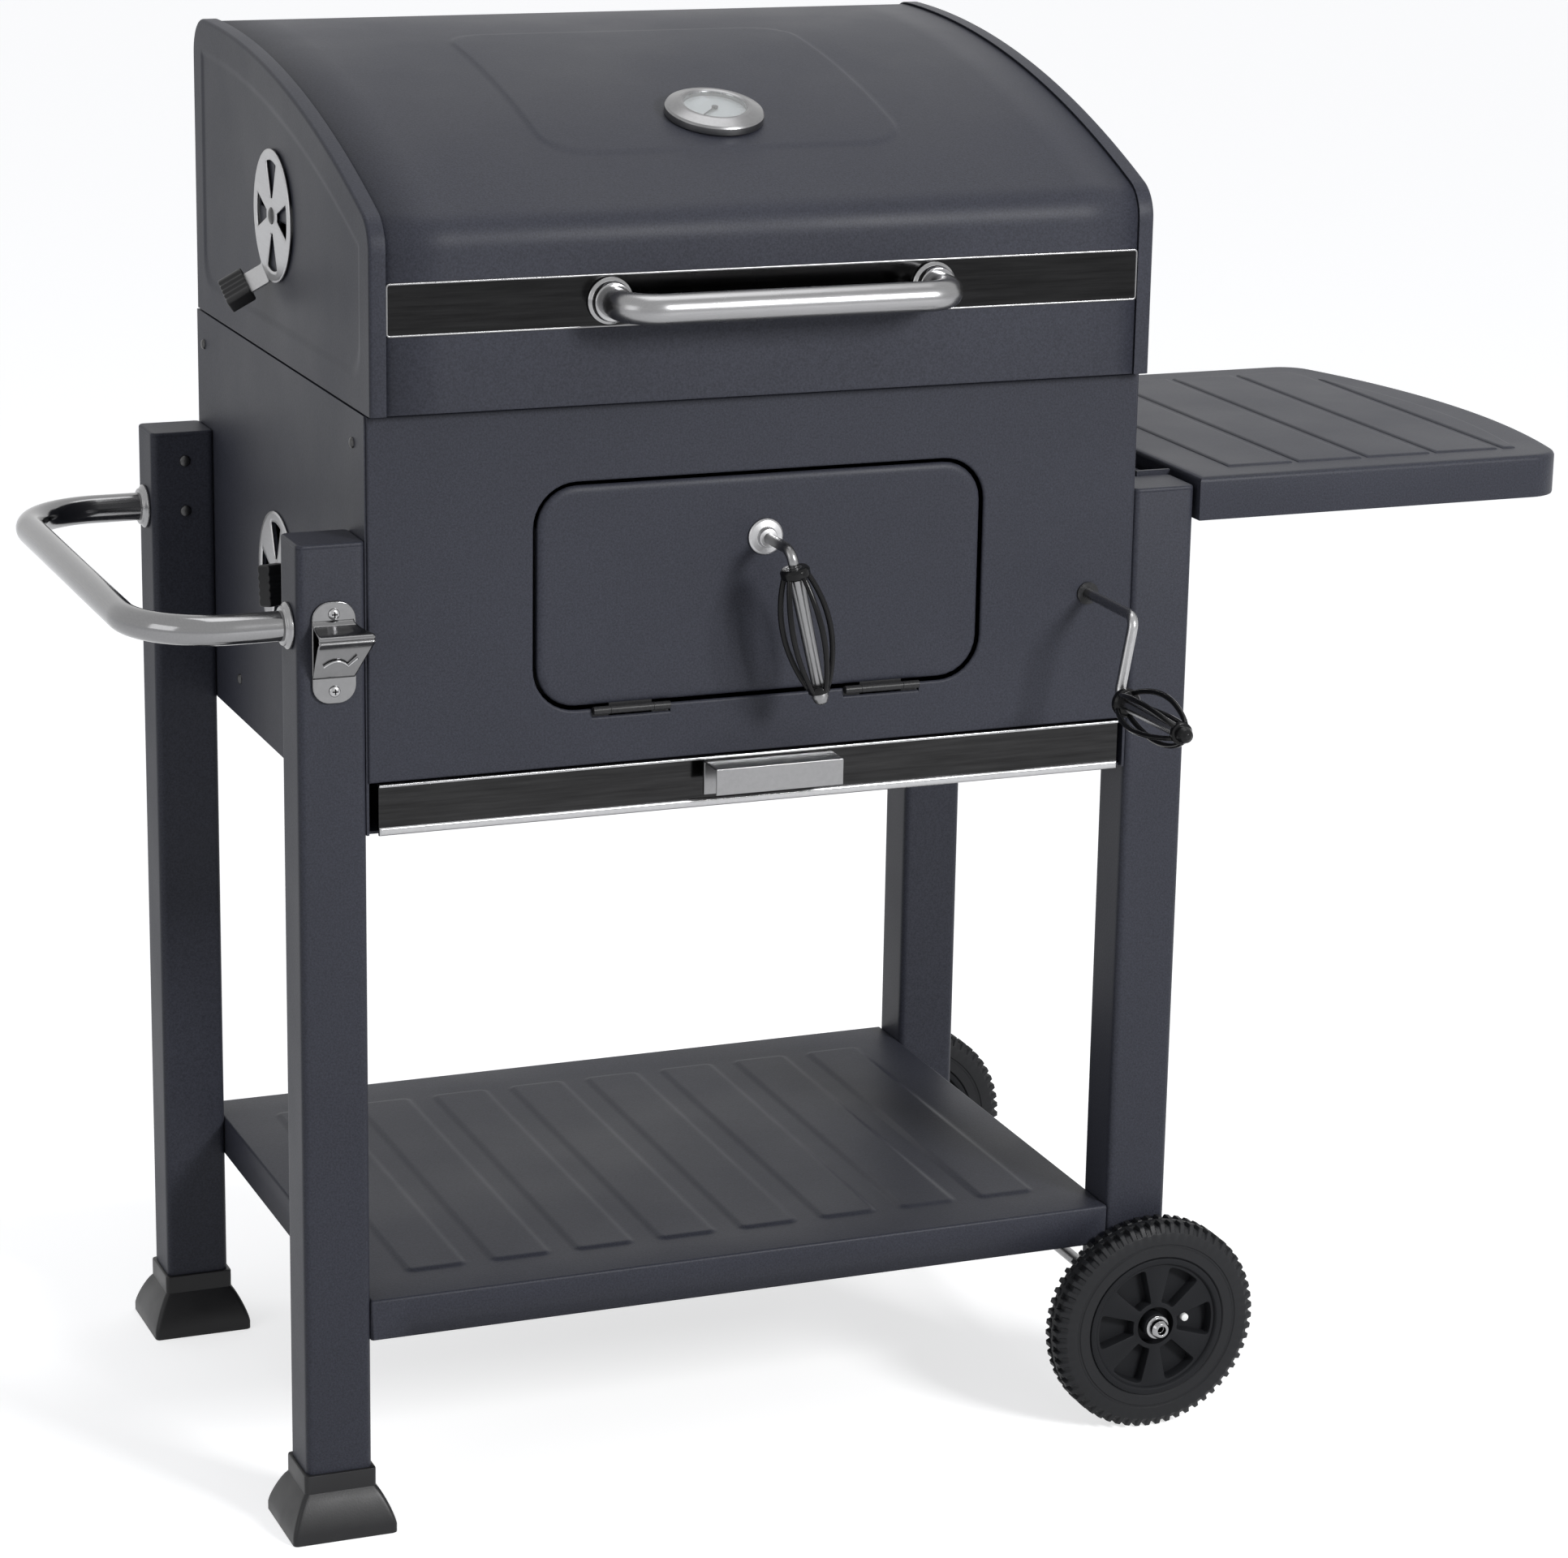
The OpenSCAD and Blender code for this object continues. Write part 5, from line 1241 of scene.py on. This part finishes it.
    def tyre(self, side, hub, out):
        """Radius round the tread: R where a lug is and R - 3 mm in a cut. The two rows of lugs are half a pitch
        apart, with a plain rib between them and sloping shoulders beside them. A row is its radius, its distance
        from the middle and its share of the cut."""
        deep, lugs, steps = 3 * MM, 60, 8
        turn = full_turn(lugs * steps)
        groove = np.isin(np.arange(lugs * steps) % steps, (1, 2, 3, 4)).astype(float)
        ring = np.sin(turn)[:, None] * X - np.cos(turn)[:, None] * np.cross(X, out)
        wall = [(57, 12.5, 0), (58.5, 14, 0), (66, 14, 0), (66.7, 13.3, 0), (68, 13.3, 0), (68.7, 14, 0)]
        shoulder = [(77.5, 14, 0), (78.7, 13.7, 0.25), (84.1, 10.9, 1), (85.1, 10.2, 1), (85.5, 9.3, 1), (85.5, 2.3, 1)]
        flank = [(r * MM, h * MM, share) for r, h, share in [*wall, *shoulder, (84.6, 1.9, 0)]]
        rows = [(r, -h, share * groove) for r, h, share in flank]
        rows += [(r, h, share * np.roll(groove, steps // 2)) for r, h, share in flank[::-1]]
        rings = np.array([hub + (r - deep * cut)[:, None] * ring + h * out for r, h, cut in rows])
        piece(f"Tyre_{side}", [skin(rings, wrap_rows=True)], "tyre", f"{side}_wheel", (f"tyre_{side}",), sharp=35)


class GRILL_OT_side_shelf(bpy.types.Operator):
    """Adds the folding side shelf: a sheet with a bowed outer edge, folded down, with five raised pads"""

    bl_idname = "grill.side_shelf"
    bl_label = "Side shelf"

    def execute(self, context):
        a, b = ends("side_shelf")
        top = b[2] - 1.3 * MM
        bulge, corner, edge = 620 * MM, 30 * MM, 4 * MM
        forward = 37 * MM
        centre = np.array([b[0] - bulge, (a[1] + b[1]) / 2 - forward])

        def plan(inset):
            """The sheet's outline pulled in by inset: a straight inner side, two straight ends, and an outer arc of
            the bulge radius, joined to the ends by corner arcs that touch both."""
            r, far = max(corner - inset, 0.5 * MM), bulge - corner
            ca, cb = (np.array([centre[0] + math.sqrt(far**2 - (y - centre[1]) ** 2), y])
                      for y in (a[1] + corner, b[1] - corner))
            la, lb = (math.degrees(math.atan2(*(c - centre)[::-1])) for c in (ca, cb))
            x0 = a[0] + max(inset, 0)
            return np.concatenate([
                arc(ca, r, -90, la, 10),
                arc(centre, far + r, la, lb, 30)[1:-1],
                arc(cb, r, lb, 90, 10),
                [(x0, b[1] - inset), (x0, a[1] + inset)],
            ])

        rows = [(4 * MM, a[2] + 1.2 * MM), (1.2 * MM, a[2] + 0.2 * MM), (0.3 * MM, a[2]), (0, a[2] + 1 * MM)]
        rows += [(inset, top - depth) for inset, depth in [(0, edge), *quarter_round(edge, 6)[1:], (edge + 4 * MM, 0)]]
        sheet = skin(rings_of([(plan(inset), z) for inset, z in rows], UP), caps="end")
        sheet_piece("Side_shelf", sheet, "folding_shelf", 1.5 * MM, ("side_shelf",))
        first, groove, pitch, border, margin, count = 39 * MM, 5 * MM, 60 * MM, 30 * MM, 31 * MM, 24

        def pad(k, inset):
            """A pad's outline pulled in by inset: straight sides, cut off where they meet the bowed border."""
            x0 = a[0] + first + k * pitch
            deep = bulge - border - inset
            reach = math.sqrt(max(deep**2 - (x0 + inset - centre[0]) ** 2, 0.0))
            low, high = a[1] + margin + inset, b[1] - margin - inset
            ys = np.linspace(max(low, centre[1] - reach), min(high, centre[1] + reach), count)
            bow = centre[0] + np.sqrt(np.maximum(deep**2 - (ys - centre[1]) ** 2, 0))
            right = np.minimum(x0 + pitch - groove - inset, bow)
            return np.concatenate([np.stack([right, ys], 1), np.stack([np.full(count, x0 + inset), ys[::-1]], 1)])

        levels = [(0, top - 0.3 * MM), (0, top), (0.5 * MM, top + 0.5 * MM), (1.4 * MM, top + 1.05 * MM)]
        levels += [(2.6 * MM, b[2]), (4 * MM, b[2])]
        pads = [skin(rings_of([(pad(k, inset), z) for inset, z in levels], UP)) for k in range(5)]
        piece("Side_shelf_pads", pads, "paint", "folding_shelf", sharp=50)
        dress("paint", "shelf_lugs")
        return {"FINISHED"}


# ---------------------------------------------------------------- stage


def backdrop_rays(tree, socket):
    """Gives the socket 1 for the rays that show the backdrop: camera, glossy and transmission rays."""
    path = tree.nodes.new("ShaderNodeLightPath")
    first, second = (tree.nodes.new("ShaderNodeMath") for _ in range(2))
    first.operation = second.operation = "MAXIMUM"
    tree.links.new(path.outputs["Is Camera Ray"], first.inputs[0])
    tree.links.new(path.outputs["Is Glossy Ray"], first.inputs[1])
    tree.links.new(first.outputs[0], second.inputs[0])
    tree.links.new(path.outputs["Is Transmission Ray"], second.inputs[1])
    tree.links.new(second.outputs[0], socket)


def placed(name, data, right, up, back, place):
    """A new object whose matrix has these four columns."""
    obj = bpy.data.objects.new(name, data)
    matrix = np.eye(4)
    matrix[:3] = np.stack([right, up, back, place], 1)
    obj.matrix_world = Matrix(matrix.tolist())
    bpy.context.scene.collection.objects.link(obj)
    return obj


class GRILL_OT_stage(bpy.types.Operator):
    """Adds the floor, the soft studio light and the camera"""

    bl_idname = "grill.stage"
    bl_label = "Stage"

    def execute(self, context):
        scene, stage = context.scene, context.scene.grill_stage
        self.camera(scene, stage)
        self.floor(scene, stage)
        self.world(scene, stage)
        self.lamps(stage)
        scene.view_settings.view_transform = "Standard"
        return {"FINISHED"}

    def camera(self, scene, stage):
        """Right, up and forward come from the turn, tilt and roll, and are the columns of the camera's matrix."""
        yaw, pitch, roll = stage.turn, stage.tilt, stage.roll
        forward = np.array([math.sin(yaw) * math.cos(pitch), math.cos(yaw) * math.cos(pitch), -math.sin(pitch)])
        level = np.array([math.cos(yaw), -math.sin(yaw), 0.0])
        right, up = turned(roll, level, np.cross(level, forward))
        lens = bpy.data.cameras.new("Camera")
        lens.lens, lens.sensor_width, lens.clip_end = stage.lens, 36.0, 50
        scene.camera = placed("Camera", lens, right, up, -forward, np.array(stage.eye))

    def floor(self, scene, stage):
        """A pale floor far wider than the view. What the camera sees of it is lifted to white where no shadow lies."""
        look, half = Look("Studio_floor"), 30.0
        look.give(Base_Color=(0.6, 0.6, 0.6, 1), Roughness=0.9, Specular_IOR_Level=0.1)
        lift = look.add("ShaderNodeEmission", Strength=stage.lift)
        seen, both = look.add("ShaderNodeMixShader"), look.add("ShaderNodeAddShader")
        look.link(look.bsdf, 0, both, 0)
        look.link(lift, 0, both, 1)
        look.link(look.bsdf, 0, seen, 1)
        look.link(both, 0, seen, 2)
        backdrop_rays(look.tree, seen.inputs[0])
        look.link(seen, 0, look.tree.nodes["Material Output"], "Surface")
        mesh = bpy.data.meshes.new("Studio_floor")
        corners = [(-half, -half, 0), (half, -half, 0), (half, half, 0), (-half, half, 0)]
        mesh.from_pydata(corners, [], [(0, 1, 2, 3)])
        mesh.materials.append(look.material)
        floor = bpy.data.objects.new("Studio_floor", mesh)
        scene.collection.objects.link(floor)

    def world(self, scene, stage):
        """Even pale surroundings; the camera sees them white."""
        world = bpy.data.worlds.new("Studio")
        world.use_nodes = True
        tree = world.node_tree
        room, seen = tree.nodes["Background"], tree.nodes.new("ShaderNodeBackground")
        room.inputs["Color"].default_value = (0.93, 0.95, 1.0, 1)
        room.inputs["Strength"].default_value = stage.fill
        seen.inputs["Color"].default_value = (1, 1, 1, 1)
        mix = tree.nodes.new("ShaderNodeMixShader")
        backdrop_rays(tree, mix.inputs[0])
        tree.links.new(room.outputs[0], mix.inputs[1])
        tree.links.new(seen.outputs[0], mix.inputs[2])
        tree.links.new(mix.outputs[0], tree.nodes["World Output"].inputs[0])
        scene.world = world

    def lamps(self, stage):
        """A key lamp high on the right in front, a weaker one on the left, and a long one over the top."""
        aim = np.array([0.0, 0.0, 0.55])
        for name, place, size, share in (
            ("Key", (1.5, -3.4, 2.3), 0.9, 1),
            ("Left", (-3.2, -1.2, 1.6), 1.6, 0.08),
            ("Top", (0.2, 0.3, 3.6), 1.8, 0.14),
        ):
            lamp = bpy.data.lights.new(name, "AREA")
            lamp.energy, lamp.size = stage.key * share, size
            back = unit(np.array(place) - aim)
            right = unit(np.cross(Y if abs(back[2]) > 0.95 else Z, back))
            placed(name, lamp, right, np.cross(back, right), back, place)


class GRILL_PT_pieces(bpy.types.Panel):
    """Lists the settings and the pieces"""

    bl_idname = "GRILL_PT_pieces"
    bl_label = "Charcoal grill trolley"
    bl_space_type = "VIEW_3D"
    bl_region_type = "UI"
    bl_category = "Grill"

    def draw(self, context):
        layout = self.layout
        for group in (context.scene.grill_sizes, context.scene.grill_colours, context.scene.grill_stage):
            for name in group.__annotations__:
                layout.prop(group, name)
        for operator in OPERATORS:
            layout.operator(operator.bl_idname)


OPERATORS = (
    GRILL_OT_legs,
    GRILL_OT_feet,
    GRILL_OT_bottom_shelf,
    GRILL_OT_firebox,
    GRILL_OT_fire_door,
    GRILL_OT_drawer,
    GRILL_OT_lid,
    GRILL_OT_handles,
    GRILL_OT_thermometer,
    GRILL_OT_vents,
    GRILL_OT_grips,
    GRILL_OT_bottle_opener,
    GRILL_OT_screws,
    GRILL_OT_wheels,
    GRILL_OT_side_shelf,
    GRILL_OT_stage,
)
GROUPS = {"grill_sizes": GrillSizes, "grill_colours": GrillColours, "grill_stage": GrillStage}


def register():
    for cls in (*GROUPS.values(), *OPERATORS, GRILL_PT_pieces):
        bpy.utils.register_class(cls)
    for name, group in GROUPS.items():
        setattr(bpy.types.Scene, name, bpy.props.PointerProperty(type=group))


def unregister():
    for name in GROUPS:
        delattr(bpy.types.Scene, name)
    for cls in reversed((*GROUPS.values(), *OPERATORS, GRILL_PT_pieces)):
        bpy.utils.unregister_class(cls)


def main():
    register()
    for operator in OPERATORS:
        group, name = operator.bl_idname.split(".")
        getattr(getattr(bpy.ops, group), name)()


if __name__ == "__main__":
    main()
